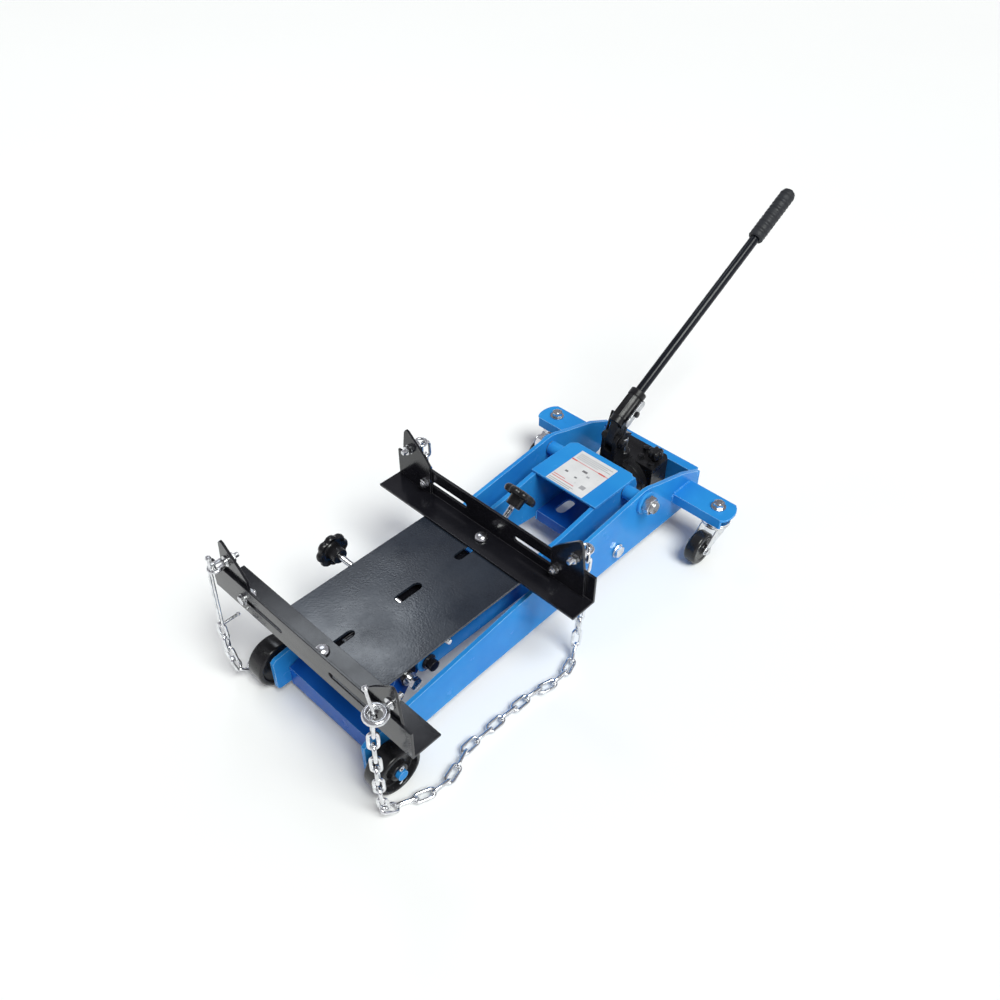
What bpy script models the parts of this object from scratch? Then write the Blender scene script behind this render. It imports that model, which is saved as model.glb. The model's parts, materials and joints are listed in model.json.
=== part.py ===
"""Low-profile floor transmission jack.

A long steel frame on two plain wheels and two swivel casters carries a hydraulic unit.
A pair of lift arms and a pair of lower links hold a tilting saddle with four jaws and two chains.
Lengths below are in millimetres, with y measured from the caster studs; SHIFT_Y centres the model.
"""
import math

import bmesh
import bpy
import numpy as np
from mathutils import Matrix, Vector
from mathutils.geometry import tessellate_polygon

for old in list(bpy.data.objects):
    bpy.data.objects.remove(old, do_unlink=True)

# ---------------------------------------------------------------- driving dimensions, mm
MM = 0.001
SHIFT_Y = 167.6

PLATE_IN = 97.0
PLATE_OUT = 104.0
PIVOT = (-111.0, 129.0)
LINK_REAR = (-173.0, 64.0)
ARM_PIN = (-553.0, 90.0)
LINK_FRONT = (-615.0, 25.0)
TRUNNION = (-100.0, 58.0)
AXLE = (-681.0, 38.0)
WHEEL_R = 38.0
WHEEL_X = (114.5, 146.5)
CASTER_X = 178.0
CASTER_R = 29.0
CASTER_TRAIL = 41.0
WING_TOP = 92.0
WING_R = 25.5
RAM_Z = 62.0

DECK_Z = 160.0
DECK_T = 5.0
DECK_X = 100.0
DECK_Y = (-698.0, -362.0)
TILT_AXIS = (-590.0, 86.0)
FRAME_Z = 132.0
SIDE_AXIS_Z = 146.0

IRON_X = {"front": 207.0, "rear": 202.0}
IRON_LEG = 47.0
IRON_T = 4.0
IRON_FRONT_Y = -704.0
IRON_REAR_Y = -356.0
IRON_Z = DECK_Z + 0.4
IRON_TOP = 211.0
SLOT_X = (54.0, 140.0)
SLOT_Z = 185.5
SLOT_HALF = 4.7

JAW_IN = 125.0
JAW_OUT = 184.0
JAW_BOLT_X = 133.0
EYE_X = 168.0
EYE_Z = 232.0
EYE_REACH = 18.0

KNOB_REAR = Vector((0.0, -293.0, 197.0))
KNOB_AXIS = Vector((0.0, -0.81, -0.586)).normalized()
KNOB_SIDE = Vector((-158.0, -538.0, 144.4))

HANDLE_X = -12.0
LEVER = (-50.0, 160.0)
HANDLE_DIR = Vector((0.0, 0.8655, 0.501)).normalized()
SOCKET_START = Vector((HANDLE_X, -44.0, 194.0))
HANDLE_LENGTH = 506.0
GRIP_LENGTH = 104.0

CHAIN_WIDTH = 16.0


# ---------------------------------------------------------------- materials
def paint(name, colour, metallic, roughness):
    mat = bpy.data.materials.new(name)
    mat.use_nodes = True
    shader = mat.node_tree.nodes["Principled BSDF"]
    shader.inputs["Base Color"].default_value = (*colour, 1.0)
    shader.inputs["Metallic"].default_value = metallic
    shader.inputs["Roughness"].default_value = roughness
    return mat


LOOKS = {
    "blue": ((0.03, 0.16, 0.62), 0.0, 0.28),
    "black": ((0.02, 0.02, 0.024), 0.0, 0.38),
    "zinc": ((0.75, 0.77, 0.80), 1.0, 0.25),
    "steel": ((0.55, 0.56, 0.58), 1.0, 0.35),
    "plastic": ((0.02, 0.02, 0.02), 0.0, 0.5),
    "tyre": ((0.025, 0.025, 0.027), 0.0, 0.45),
    "cast": ((0.018, 0.018, 0.02), 0.0, 0.42),
}


# ---------------------------------------------------------------- builders
def place(points):
    return [Vector((p[0] * MM, (p[1] + SHIFT_Y) * MM, p[2] * MM)) for p in points]


def finish(name, bm, look, smooth=False):
    bmesh.ops.remove_doubles(bm, verts=bm.verts, dist=1e-7)
    bmesh.ops.recalc_face_normals(bm, faces=bm.faces)
    mesh = bpy.data.meshes.new(name)
    bm.to_mesh(mesh)
    bm.free()
    obj = bpy.data.objects.new(name, mesh)
    bpy.context.scene.collection.objects.link(obj)
    mesh.materials.append(paint(name + "_mat", *LOOKS[look]))
    if smooth:
        mesh.shade_smooth()
        mesh.set_sharp_from_angle(angle=math.radians(35))
    return obj


def circle(centre, radius, count=20, start=0.0):
    steps = [start + 2 * math.pi * i / count for i in range(count)]
    return [(centre[0] + radius * math.cos(t), centre[1] + radius * math.sin(t)) for t in steps]


def arc(centre, radius, first, last, count=6):
    steps = [math.radians(first + (last - first) * i / count) for i in range(count + 1)]
    return [(centre[0] + radius * math.cos(t), centre[1] + radius * math.sin(t)) for t in steps]


def obround(a, b, half, count=5):
    """A slot outline between the centres a and b."""
    heading = math.degrees(math.atan2(b[1] - a[1], b[0] - a[0]))
    return arc(b, half, heading - 90, heading + 90, count) + arc(a, half, heading + 90, heading + 270, count)


def lift(axis, a, b, t):
    return {"x": (t, a, b), "y": (a, t, b), "z": (a, b, t)}[axis]


def plate(name, outline, axis, low, high, look, holes=(), smooth=False):
    """A flat outline with holes, given thickness along one axis."""
    loops = [list(outline)] + [list(h) for h in holes]
    flat = [[Vector((a, b, 0.0)) for a, b in loop] for loop in loops]
    corners = [p for loop in loops for p in loop]
    triangles = tessellate_polygon(flat)
    bm = bmesh.new()
    lower = [bm.verts.new(v) for v in place([lift(axis, a, b, low) for a, b in corners])]
    upper = [bm.verts.new(v) for v in place([lift(axis, a, b, high) for a, b in corners])]
    for tri in triangles:
        bm.faces.new([lower[i] for i in tri])
        bm.faces.new([upper[i] for i in tri])
    first = 0
    for loop in loops:
        count = len(loop)
        for i in range(count):
            j = (i + 1) % count
            quad = (lower[first + i], lower[first + j], upper[first + j], upper[first + i])
            bm.faces.new(quad)
        first += count
    return finish(name, bm, look, smooth)


def box(name, xs, ys, zs, look):
    outline = [(xs[0], ys[0]), (xs[1], ys[0]), (xs[1], ys[1]), (xs[0], ys[1])]
    return plate(name, outline, "z", zs[0], zs[1], look)


def turned(name, origin, direction, profile, look, count=28, ring=False, lobes=0, depth=0.0):
    """A profile of (radius, distance along) turned about an axis through origin."""
    direction = Vector(direction).normalized()
    side = direction.orthogonal().normalized()
    other = direction.cross(side)
    origin = Vector(origin)
    bm = bmesh.new()
    rows = []
    for radius, along in profile:
        centre = origin + direction * along
        if radius == 0.0:
            rows.append([bm.verts.new(place([centre])[0])])
            continue
        row = []
        for i in range(count):
            t = 2 * math.pi * i / count
            r = radius - depth * (0.5 - 0.5 * math.cos(lobes * t)) if lobes and radius > 9 else radius
            point = centre + side * (r * math.cos(t)) + other * (r * math.sin(t))
            row.append(bm.verts.new(place([point])[0]))
        rows.append(row)
    pairs = list(zip(rows, rows[1:]))
    if ring:
        pairs.append((rows[-1], rows[0]))
    for near, far in pairs:
        for i in range(count):
            j = (i + 1) % count
            if len(near) == 1:
                bm.faces.new((near[0], far[i], far[j]))
            elif len(far) == 1:
                bm.faces.new((near[i], near[j], far[0]))
            else:
                bm.faces.new((near[i], near[j], far[j], far[i]))
    return finish(name, bm, look, True)


def rod(name, start, end, radius, look, count=20):
    start = Vector(start)
    end = Vector(end)
    long = (end - start).length
    profile = [(0.0, 0.0), (radius, 0.0), (radius, long), (0.0, long)]
    return turned(name, start, end - start, profile, look, count)


def combine(obj, tools, how):
    """Joins or cuts obj with tools, and leaves one plain mesh."""
    for tool in tools:
        step = obj.modifiers.new("step", "BOOLEAN")
        step.operation = how
        step.solver = "EXACT"
        step.object = tool
    view = bpy.context.evaluated_depsgraph_get()
    mesh = bpy.data.meshes.new_from_object(obj.evaluated_get(view))
    obj.modifiers.clear()
    obj.data = mesh
    for tool in tools:
        bpy.data.objects.remove(tool, do_unlink=True)
    return obj


def mirrored(points):
    return [(-a, b) for a, b in reversed(points)]


# ---------------------------------------------------------------- frame
SIDE_OUTLINE = [
    (-704, 20), (-700, 16), (-676, 16), (-592, 25), (-509, 30), (-324, 35), (11, 35), (30, 42),
    (52, 66), (52, 95), (3, 119), (-71, 141), (-98, 150), (-112, 152), (-128, 150),
    (-250, 136), (-406, 117), (-622, 90), (-676, 80), (-698, 77), (-704, 72),
]
WING_END = [
    (199, -1 - WING_R), (205, -21.5), (208, -14), (209, -4), (208.2, 5), (205.6, 13), (202, 19), (197, -1 + WING_R),
]
for side, sign in (("left", -1), ("right", 1)):
    faces = sorted((sign * PLATE_IN, sign * PLATE_OUT))
    bores = [circle(PIVOT, 11.0, 24), circle(LINK_REAR, 8.0, 16)]
    cheek = plate("side_plate_" + side, SIDE_OUTLINE, "x", faces[0], faces[1], "blue", bores)
    stub = rod("stub", (sign * (PLATE_IN + 2), *AXLE), (sign * 153.0, *AXLE), 8.0, "blue", 20)
    combine(cheek, [stub], "UNION")

    # outrigger that carries the caster: a pressed channel, open below its bowed end
    outer = [(PLATE_OUT + 0.5, -1 - WING_R)] + WING_END + [(PLATE_OUT + 0.5, -1 + WING_R)]
    inner = [
        (PLATE_OUT - 5, 3 - WING_R), (WING_END[0][0] + 1.5, 3 - WING_R), (WING_END[0][0] + 1.5, -30), (220, -30),
        (220, 30), (WING_END[-1][0] - 3, 30), (WING_END[-1][0] - 3, WING_R - 5), (PLATE_OUT - 5, WING_R - 5),
    ]
    stud_hole = circle((CASTER_X, 0), 6.5, 16)
    if sign < 0:
        outer = mirrored(outer)
        inner = mirrored(inner)
        stud_hole = mirrored(stud_hole)
    wing = plate("caster_wing_" + side, outer, "z", WING_TOP - 19, WING_TOP, "blue", [stud_hole])
    pocket = plate("pocket", inner, "z", WING_TOP - 30, WING_TOP - 4, "blue")
    combine(wing, [pocket], "DIFFERENCE")

    # main pivot nut, outside the plate
    hexagon = circle(PIVOT, 18.5, 6)
    reach = sorted((sign * (PLATE_OUT + 6.5), sign * (PLATE_OUT + 20)))
    plate("pivot_nut_" + side, hexagon, "x", reach[0], reach[1], "zinc", [circle(PIVOT, 10.9, 18)])

    # lower link bolt: head outside, shank through plate and link
    head = [(0.0, 0.0), (12.0, 0.0), (12.0, 8.0), (7.6, 8.0), (7.6, 44.0), (0.0, 44.0)]
    start = (sign * (PLATE_OUT + 8.5), LINK_REAR[0], LINK_REAR[1])
    turned("link_bolt_" + side, start, (-sign, 0, 0), head, "zinc", 18)

    # front wheel on the plate's welded stub
    x0 = WHEEL_X[0]
    x1 = WHEEL_X[1]
    tread = [
        (8.4, x0), (15.0, x0), (17.0, x0 + 4), (29.0, x0 + 4), (31.0, x0), (35.5, x0), (WHEEL_R, x0 + 3),
        (WHEEL_R, x1 - 3), (35.5, x1), (31.0, x1), (29.0, x1 - 5), (17.0, x1 - 5), (15.0, x1), (8.4, x1),
    ]
    turned("front_wheel_" + side, (0, *AXLE), (sign, 0, 0), tread, "tyre", 40, ring=True)

    # swivel caster: fork with stud, and its wheel
    cx = sign * CASTER_X
    hub = (-CASTER_TRAIL, CASTER_R)
    leg = [(-20, 61)] + arc(hub, 8.0, 165, 345, 6) + [(20, 52), (22, 61)]
    fork = plate("caster_fork_" + side, leg, "x", cx - 16, cx + 16, "zinc")
    gap = box("gap", (cx - 13.2, cx + 13.2), (-70, 40), (0, 58), "zinc")
    combine(fork, [gap], "DIFFERENCE")
    race = [
        (0.0, 58.5), (21.5, 58.5), (24.5, 62.0), (24.5, 70.5), (12.0, 70.5), (12.0, 87.4), (6.1, 87.4),
        (6.1, 103.0), (0.0, 103.0),
    ]
    stud = turned("stud", (cx, 0, 0), (0, 0, 1), race, "zinc", 24)
    pin = rod("pin", (cx - 18, *hub), (cx + 18, *hub), 4.0, "zinc", 12)
    combine(fork, [stud, pin], "UNION")
    roller = [
        (4.4, -12), (10.0, -12), (11.0, -10), (20.0, -10), (21.5, -11), (27.0, -11), (CASTER_R, -8),
        (CASTER_R, 8), (27.0, 11), (21.5, 11), (20.0, 9), (11.0, 9), (10.0, 12), (4.4, 12),
    ]
    turned("caster_wheel_" + side, (cx, *hub), (1, 0, 0), roller, "tyre", 32, ring=True)

# block under the platform's rear end that the rear tilt screw is threaded through
TIP = KNOB_REAR + KNOB_AXIS * 103
nut_block = turned("tilt_nut", TIP, KNOB_AXIS, [(5.1, -5.0), (9.5, -5.0), (9.5, 4.0), (5.1, 4.0)], "zinc", 12, ring=True)

rod("pivot_shaft", (-128, *PIVOT), (128, *PIVOT), 10.5, "steel", 24)

ANGLE_REAR = [(40, 42), (44, 42), (44, 91), (58, 91), (58, 95), (40, 95)]
plate("rear_tie", ANGLE_REAR, "x", -96.5, 96.5, "blue")
ANGLE_FRONT = [(-680, 11), (-676, 11), (-676, 43), (-652, 53), (-652, 57), (-680, 47)]
plate("front_channel", ANGLE_FRONT, "x", -96.5, 96.5, "blue")

# ---------------------------------------------------------------- hydraulic unit
block_outline = [(-50, -14), (50, -14), (50, 30), (42, 38), (-42, 38), (-50, 30)]
block = plate("pump_block", block_outline, "z", 40, 104, "cast")
boss = rod("boss", (0, -40, RAM_Z), (0, -12, RAM_Z), 43.0, "cast", 40)
tower = [(-66, 98.6), (-34, 98.6), (-38, 160)] + arc(LEVER, 12.0, 0, 180, 8) + [(-62, 160)]
lug = plate("lug", tower, "x", HANDLE_X - 15, HANDLE_X + 15, "cast")
foot = box("foot", (HANDLE_X - 15, HANDLE_X + 15), (-66, -10), (98.6, 108), "cast")
pad = box("pad", (HANDLE_X - 15, HANDLE_X + 15), (-39.5, -11), (84, 104), "cast")
combine(block, [boss, lug, foot, pad], "UNION")
slit = box("slit", (HANDLE_X - 8.0, HANDLE_X + 8.0), (-70, -30), (140, 180), "cast")
bore = rod("bore", (0, -60, RAM_Z), (0, 34, RAM_Z), 14.6, "cast", 24)
barrel = rod("barrel", (HANDLE_X, -18, 78.5), (HANDLE_X, -18, 110), 7.5, "cast", 18)
seat = rod("seat", (36, 12, 96), (36, 12, 110), 6.0, "cast", 14)
combine(block, [slit, bore, barrel, seat], "DIFFERENCE")

SLEEVE = [
    (14.6, -40.4), (33.0, -40.4), (33.0, -62.0), (36.0, -63.0), (36.0, -75.0), (32.0, -77.0), (14.6, -77.0),
]
turned("ram_cylinder", (0, 0, RAM_Z), (0, 1, 0), SLEEVE, "cast", 32, ring=True)
ROD = [(0.0, -87.0), (14.0, -87.0), (14.0, 24.0), (0.0, 24.0)]
turned("ram_rod", (0, 0, RAM_Z), (0, 1, 0), ROD, "zinc", 24)
rod("pump_piston", (HANDLE_X, -18, 80), (HANDLE_X, -18, 144), 7.0, "zinc", 18)

# lever with socket, straddled by the two lugs of the block
nose = [(-62, 160), (-60, 151), (-50, 148), (-34, 148), (-10, 147), (-8, 152), (-28, 164), (-24, 196), (-50, 200)]
lever = plate("handle_socket", nose, "x", HANDLE_X - 7.0, HANDLE_X + 7.0, "cast")
CUP = [
    (0.0, -6.0), (13.0, -6.0), (13.0, 62.0), (9.2, 62.0), (9.2, 6.0), (0.0, 6.0),
]
cup = turned("cup", SOCKET_START, HANDLE_DIR, CUP, "cast", 24)
combine(lever, [cup], "UNION")
hollow = rod("hollow", SOCKET_START + HANDLE_DIR * 6, SOCKET_START + HANDLE_DIR * 80, 9.2, "cast", 24)
combine(lever, [hollow], "DIFFERENCE")
tube_start = SOCKET_START + HANDLE_DIR * 7
tube_end = SOCKET_START + HANDLE_DIR * HANDLE_LENGTH
rod("handle_tube", tube_start, tube_end, 8.5, "black", 20)
GRIP = [
    (8.8, -GRIP_LENGTH), (12.5, -GRIP_LENGTH), (13.5, -GRIP_LENGTH + 3), (13.0, 2.0), (11.0, 5.0),
    (0.0, 5.0), (0.0, 1.0), (8.8, 1.0),
]


def cup_ring(name, origin, direction, profile, look, count):
    """A turned cup: the profile starts at the mouth, goes round the outside and ends at the bore."""
    direction = Vector(direction).normalized()
    side = direction.orthogonal().normalized()
    other = direction.cross(side)
    bm = bmesh.new()
    rows = []
    for radius, along in profile:
        centre = Vector(origin) + direction * along
        if radius == 0.0:
            rows.append([bm.verts.new(place([centre])[0])])
            continue
        angles = [2 * math.pi * i / count for i in range(count)]
        ring = [centre + side * (radius * math.cos(t)) + other * (radius * math.sin(t)) for t in angles]
        rows.append([bm.verts.new(v) for v in place(ring)])
    for near, far in list(zip(rows, rows[1:])) + [(rows[-1], rows[0])]:
        if len(near) == 1 and len(far) == 1:
            continue
        for i in range(count):
            j = (i + 1) % count
            if len(near) == 1:
                bm.faces.new((near[0], far[i], far[j]))
            elif len(far) == 1:
                bm.faces.new((near[i], near[j], far[0]))
            else:
                bm.faces.new((near[i], near[j], far[j], far[i]))
    return finish(name, bm, look, True)


cup_ring("handle_grip", tube_end, HANDLE_DIR, GRIP, "plastic", 24)

STAR = [
    (0.0, 98.0), (5.0, 98.0), (5.0, 110.0), (11.0, 110.0), (14.0, 113.0), (14.0, 122.0), (11.0, 126.0),
    (0.0, 127.0),
]
turned("release_knob", (36, 12, 0), (0, 0, 1), STAR, "plastic", 30, lobes=6, depth=1.2)

# ---------------------------------------------------------------- lift arms
ARM_OUTLINE = (
    [(-86, 142), (-195, 142), (-262, 131), (-330, 125), (-500, 112)]
    + arc(ARM_PIN, 19.0, 80, 255, 8)
    + [(-520, 71), (-350, 68), (-215, 48), (-150, 40)]
    + arc(TRUNNION, 20.0, 255, 360, 6)
    + [(-84, 90), (-80, 125)]
)
for side, sign in (("left", -1), ("right", 1)):
    faces = sorted((sign * 58.0, sign * 66.0))
    bores = [circle(PIVOT, 11.2, 24), circle(ARM_PIN, 9.4, 18)]
    plate("lift_arm_" + side, ARM_OUTLINE, "x", faces[0], faces[1], "blue", bores)

    # lower parallel link
    faces = sorted((sign * 76.0, sign * 82.0))
    outline = obround(LINK_FRONT, LINK_REAR, 11.0, 6)
    bores = [circle(LINK_REAR, 8.0, 16), circle(LINK_FRONT, 6.5, 16)]
    plate("lower_link_" + side, outline, "x", faces[0], faces[1], "blue", bores)

plate("arm_cover", [(-68, -193), (68, -193), (68, -96), (58, -86), (-58, -86), (-68, -96)], "z", 142.4, 146.4, "blue")

# web between the arms: a plate with a turned-down lip, a slot, and the cross tube the ram bears on
WEB = [(-188, 37), (-184, 37), (-184, 54), (-111, 54), (-111, 58), (-188, 58)]
web = plate("arm_web", WEB, "x", -57.6, 57.6, "blue")
cross_tube = rod("cross_tube", (-57.6, *TRUNNION), (57.6, *TRUNNION), 12.0, "blue", 20)
combine(web, [cross_tube], "UNION")
window = plate("window", obround((-29, -157), (-29, -134), 9.0, 6), "z", 40, 70, "blue")
combine(web, [window], "DIFFERENCE")

# ---------------------------------------------------------------- saddle base and pins
BASE_OUTLINE = (
    [(-384, 121), (-384, 126), (-588, 126), (-604, 112), (-606, 82), (-627, 32)]
    + arc(LINK_FRONT, 11.0, 190, 330, 6)
    + [(-575, 60), (-530, 82), (-515, 112), (-500, 121)]
)
base = plate("saddle_base", BASE_OUTLINE, "x", -55, 55, "blue")
inside = box("inside", (-48, 48), (-660, -380), (-20, 121), "blue")
relief = box("relief", (-80, 80), (-500, -370), (-20, 121), "blue")
sides = [box("trim", (sign * 60 - 18, sign * 60 + 18), (-512, -370), (100, 140), "blue") for sign in (-1, 1)]
combine(base, [inside, relief] + sides, "DIFFERENCE")
eye_a = rod("eye_a", (-70, *ARM_PIN), (70, *ARM_PIN), 9.3, "blue", 18)
eye_b = rod("eye_b", (-70, *LINK_FRONT), (70, *LINK_FRONT), 6.5, "blue", 16)
eye_c = rod("eye_c", (-70, *TILT_AXIS), (70, *TILT_AXIS), 6.3, "blue", 16)
combine(base, [eye_a, eye_b, eye_c], "DIFFERENCE")
PIN = [(0.0, -74.0), (9.0, -74.0), (9.0, 66.8), (12.0, 66.8), (12.0, 69.8), (9.0, 69.8), (9.0, 81.0), (0.0, 81.0)]
turned("arm_pin", (0, *ARM_PIN), (1, 0, 0), PIN, "black", 22)
BOLT = [(0.0, -92.0), (6.0, -92.0), (6.0, 83.0), (10.0, 83.0), (10.0, 90.0), (0.0, 90.0)]
turned("link_pin", (0, *LINK_FRONT), (1, 0, 0), BOLT, "zinc", 18)
BOLT = [(0.0, -86.0), (6.0, -86.0), (6.0, 74.0), (10.5, 74.0), (10.5, 84.0), (0.0, 84.0)]
turned("tilt_bolt", (0, *TILT_AXIS), (1, 0, 0), BOLT, "zinc", 18)

# ---------------------------------------------------------------- tilting saddle
frame_outline = [(-70, -646), (70, -646), (70, -560), (50, -540), (50, -394), (-50, -394), (-50, -540), (-70, -560)]
tilt_frame = plate("tilt_frame", frame_outline, "z", FRAME_Z, FRAME_Z + 5, "black")
EAR = [(-612, FRAME_Z + 2)] + arc(TILT_AXIS, 13.0, 180, 350, 7) + [(-577, 112), (-572, FRAME_Z + 2)]
ears = [plate("ear", EAR, "x", sign * 62.5 - 4.5, sign * 62.5 + 4.5, "black") for sign in (-1, 1)]
for ends in ((-640, -596), (-476, -436)):
    ears.append(rod("barrel", (0, ends[0], SIDE_AXIS_Z), (0, ends[1], SIDE_AXIS_Z), 8.2, "black", 20))
    ears.append(box("rib", (-5, 5), (ends[0] + 2, ends[1] - 2), (FRAME_Z + 2, SIDE_AXIS_Z), "black"))
for sign in (-1, 1):
    ears.append(box("lug", (sign * 44 - 4, sign * 44 + 4), (-548, -528), (FRAME_Z + 2, 151.4), "black"))
combine(tilt_frame, ears, "UNION")
screw_bore = rod("screw_bore", (-80, *KNOB_SIDE[1:]), (80, *KNOB_SIDE[1:]), 5.3, "black", 16)
combine(tilt_frame, [screw_bore], "DIFFERENCE")
eye_d = rod("eye_d", (-80, *TILT_AXIS), (80, *TILT_AXIS), 6.3, "black", 16)
combine(tilt_frame, [eye_d], "DIFFERENCE")
slot_front = obround((0, -686), (0, -630), 6.0, 5)
slot_rear = obround((0, -425), (0, -375), 7.2, 5)
centre_hole = obround((0, -541), (0, -508), 7.2, 5)
deck = [(-DECK_X, DECK_Y[0]), (DECK_X, DECK_Y[0]), (DECK_X, DECK_Y[1]), (-DECK_X, DECK_Y[1])]
holes = [slot_front, slot_rear, centre_hole]
plate("platform", deck, "z", DECK_Z - DECK_T, DECK_Z, "black", holes)

DISC = [(0.0, -7.0), (24.0, -7.0), (28.0, -3.0), (28.0, 3.0), (25.0, 7.0), (13.0, 8.0), (12.0, 22.0), (5.3, 22.0)]
for name, centre, axis, length in (
    ("tilt_knob_rear", KNOB_REAR, KNOB_AXIS, 112.0),
    ("tilt_knob_side", KNOB_SIDE, Vector((1, 0, 0)), 256.0),
):
    shape = DISC + [(5.3, 4.0), (0.0, 4.0)]
    turned(name, centre, axis, shape, "plastic", 36, lobes=6, depth=2.2)
    screw = name.replace("knob", "screw")
    rod(screw, centre + axis * 4.6, centre + axis * length, 4.8, "zinc", 16)

# ---------------------------------------------------------------- angle irons, jaws, bolts, eyes
for end, wall, sense in (("front", IRON_FRONT_Y, 1), ("rear", IRON_REAR_Y, -1)):
    section = [
        (wall, IRON_Z), (wall + sense * IRON_LEG, IRON_Z), (wall + sense * IRON_LEG, IRON_Z + IRON_T),
        (wall + sense * IRON_T, IRON_Z + IRON_T), (wall + sense * IRON_T, IRON_TOP), (wall, IRON_TOP),
    ]
    iron = plate("angle_iron_" + end, section, "x", -IRON_X[end], IRON_X[end], "black")
    cutters = []
    for sign in (-1, 1):
        slot = obround((sign * SLOT_X[0], SLOT_Z), (sign * SLOT_X[1], SLOT_Z), SLOT_HALF, 5)
        reach = sorted((wall - sense * 5, wall + sense * 10))
        cutters.append(plate("slot", slot, "y", reach[0], reach[1], "black"))
    bolt_y = wall + sense * (26.0 if end == "front" else 22.0)
    cutters.append(rod("hole", (0, bolt_y, IRON_Z - 5), (0, bolt_y, IRON_Z + 10), 5.6, "black", 16))
    combine(iron, cutters, "DIFFERENCE")

    dome = [(0.0, 149.0), (5.0, 149.0), (5.0, 164.8), (10.5, 164.8), (9.5, 169.0), (6.0, 172.0), (0.0, 173.0)]
    turned("clamp_bolt_" + end, (0, bolt_y, 0), (0, 0, 1), dome, "zinc", 20)

    for side, sign in (("left", -1), ("right", 1)):
        tag = end + "_" + side
        near = wall + sense * (IRON_T + 0.4)
        far = wall + sense * (IRON_T + 4.4)
        outline = [
            (JAW_IN, 165), (JAW_OUT + 3, 165), (JAW_OUT + 2, 206), (JAW_OUT - 5, 260), (JAW_OUT - 9, 265),
            (JAW_OUT - 14, 264), (JAW_IN + 13, 236), (JAW_IN, 222),
        ]
        bores = [circle((JAW_BOLT_X + 1, SLOT_Z), 4.6, 14), circle((EYE_X, EYE_Z), 4.6, 14)]
        if sign < 0:
            outline = mirrored(outline)
            bores = [mirrored(b) for b in bores]
        plate("jaw_" + tag, outline, "y", min(near, far), max(near, far), "black", bores)

        # slot bolt: head outside the iron, nut inside the jaw
        head = [
            (0.0, -5.0), (7.5, -5.0), (7.5, -0.4), (4.0, -0.4), (4.0, 8.8), (7.0, 8.8), (7.0, 14.8),
            (4.0, 14.8), (4.0, 19.0), (0.0, 19.0),
        ]
        spot = (sign * (JAW_BOLT_X + 1), wall, SLOT_Z)
        turned("jaw_bolt_" + tag, spot, (0, sense, 0), head, "zinc", 12)

        # eye bolt: ring outside, nut against the jaw
        stem = [
            (0.0, -7.0), (4.0, -7.0), (4.0, 8.8), (7.5, 8.8), (7.5, 15.3), (4.0, 15.3), (4.0, 24.0),
            (0.0, 24.0),
        ]
        spot = (sign * EYE_X, wall, EYE_Z)
        stem = turned("eye_bolt_" + tag, spot, (0, sense, 0), stem, "zinc", 12)
        loop = [(13.0 + 4.0 * math.cos(t), 4.0 * math.sin(t)) for t in np.linspace(0, 2 * math.pi, 9)[:-1]]
        hoop_spot = (sign * EYE_X, wall - sense * EYE_REACH, EYE_Z)
        hoop = turned("hoop", hoop_spot, (0, 0, 1), loop, "zinc", 20, ring=True)
        combine(stem, [hoop], "UNION")


# ---------------------------------------------------------------- chains, as flexible lengths
def smooth_route(knots, spacing):
    """A Catmull-Rom run through the knots, with points about spacing apart."""
    pts = [np.array(k, float) for k in knots]
    pts = [2 * pts[0] - pts[1]] + pts + [2 * pts[-1] - pts[-2]]
    fine = []
    for p0, p1, p2, p3 in zip(pts, pts[1:], pts[2:], pts[3:]):
        for t in np.linspace(0, 1, 12, endpoint=False):
            fine.append(
                0.5 * (2 * p1 + (p2 - p0) * t + (2 * p0 - 5 * p1 + 4 * p2 - p3) * t**2
                       + (3 * p1 - p0 - 3 * p2 + p3) * t**3)
            )
    fine.append(pts[-2])
    fine = np.array(fine)
    along = np.concatenate([[0.0], np.cumsum(np.linalg.norm(np.diff(fine, axis=0), axis=1))])
    marks = np.linspace(0, along[-1], max(2, round(along[-1] / spacing)) + 1)
    route = np.stack([np.interp(marks, along, fine[:, k]) for k in range(3)], axis=1)
    route[:, 2] = np.maximum(route[:, 2], CHAIN_WIDTH / 2 + 0.2)
    return route


CHAIN_RIGHT = [
    (168, -728, 226), (168, -731, 180), (167, -731, 120), (165, -729, 60), (163, -722, 20), (166, -706, 8.2),
    (176, -684, 8.2), (186, -655, 8.2), (187, -630, 8.2), (178, -602, 8.2), (170, -578, 8.2),
    (171, -548, 8.2), (170, -520, 8.2), (171, -486, 8.2), (173, -446, 8.2), (181, -412, 8.2),
    (180, -380, 8.2), (171, -356, 9), (164, -342, 28), (161, -334, 70), (161, -332, 140), (164, -331, 226),
]
CHAIN_LEFT = [
    (-168, -728, 226), (-168, -731, 180), (-168, -731, 120), (-166, -729, 60), (-165, -720, 20),
    (-168, -704, 8.2), (-178, -672, 8.2), (-186, -636, 8.2), (-180, -596, 8.2), (-172, -556, 8.2),
    (-176, -516, 8.2), (-184, -476, 8.2), (-180, -436, 8.2), (-172, -400, 8.2), (-172, -366, 9),
    (-170, -342, 28), (-168, -332, 70), (-168, -331, 140), (-168, -332, 226),
]
for name, knots in (("chain_right", CHAIN_RIGHT), ("chain_left", CHAIN_LEFT)):
    route = place(smooth_route(knots, 24.0))
    curve = bpy.data.curves.new(name, "CURVE")
    curve.dimensions = "3D"
    curve.bevel_depth = CHAIN_WIDTH / 2 * MM
    curve.bevel_resolution = 2
    curve.use_fill_caps = True
    curve.render_resolution_u = 0
    spline = curve.splines.new("POLY")
    spline.points.add(len(route) - 1)
    for point, where in zip(spline.points, route):
        point.co = (*where, 1.0)
    spline.use_smooth = True
    obj = bpy.data.objects.new(name, curve)
    bpy.context.scene.collection.objects.link(obj)
    curve.materials.append(paint(name + "_mat", *LOOKS["zinc"]))

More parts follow.
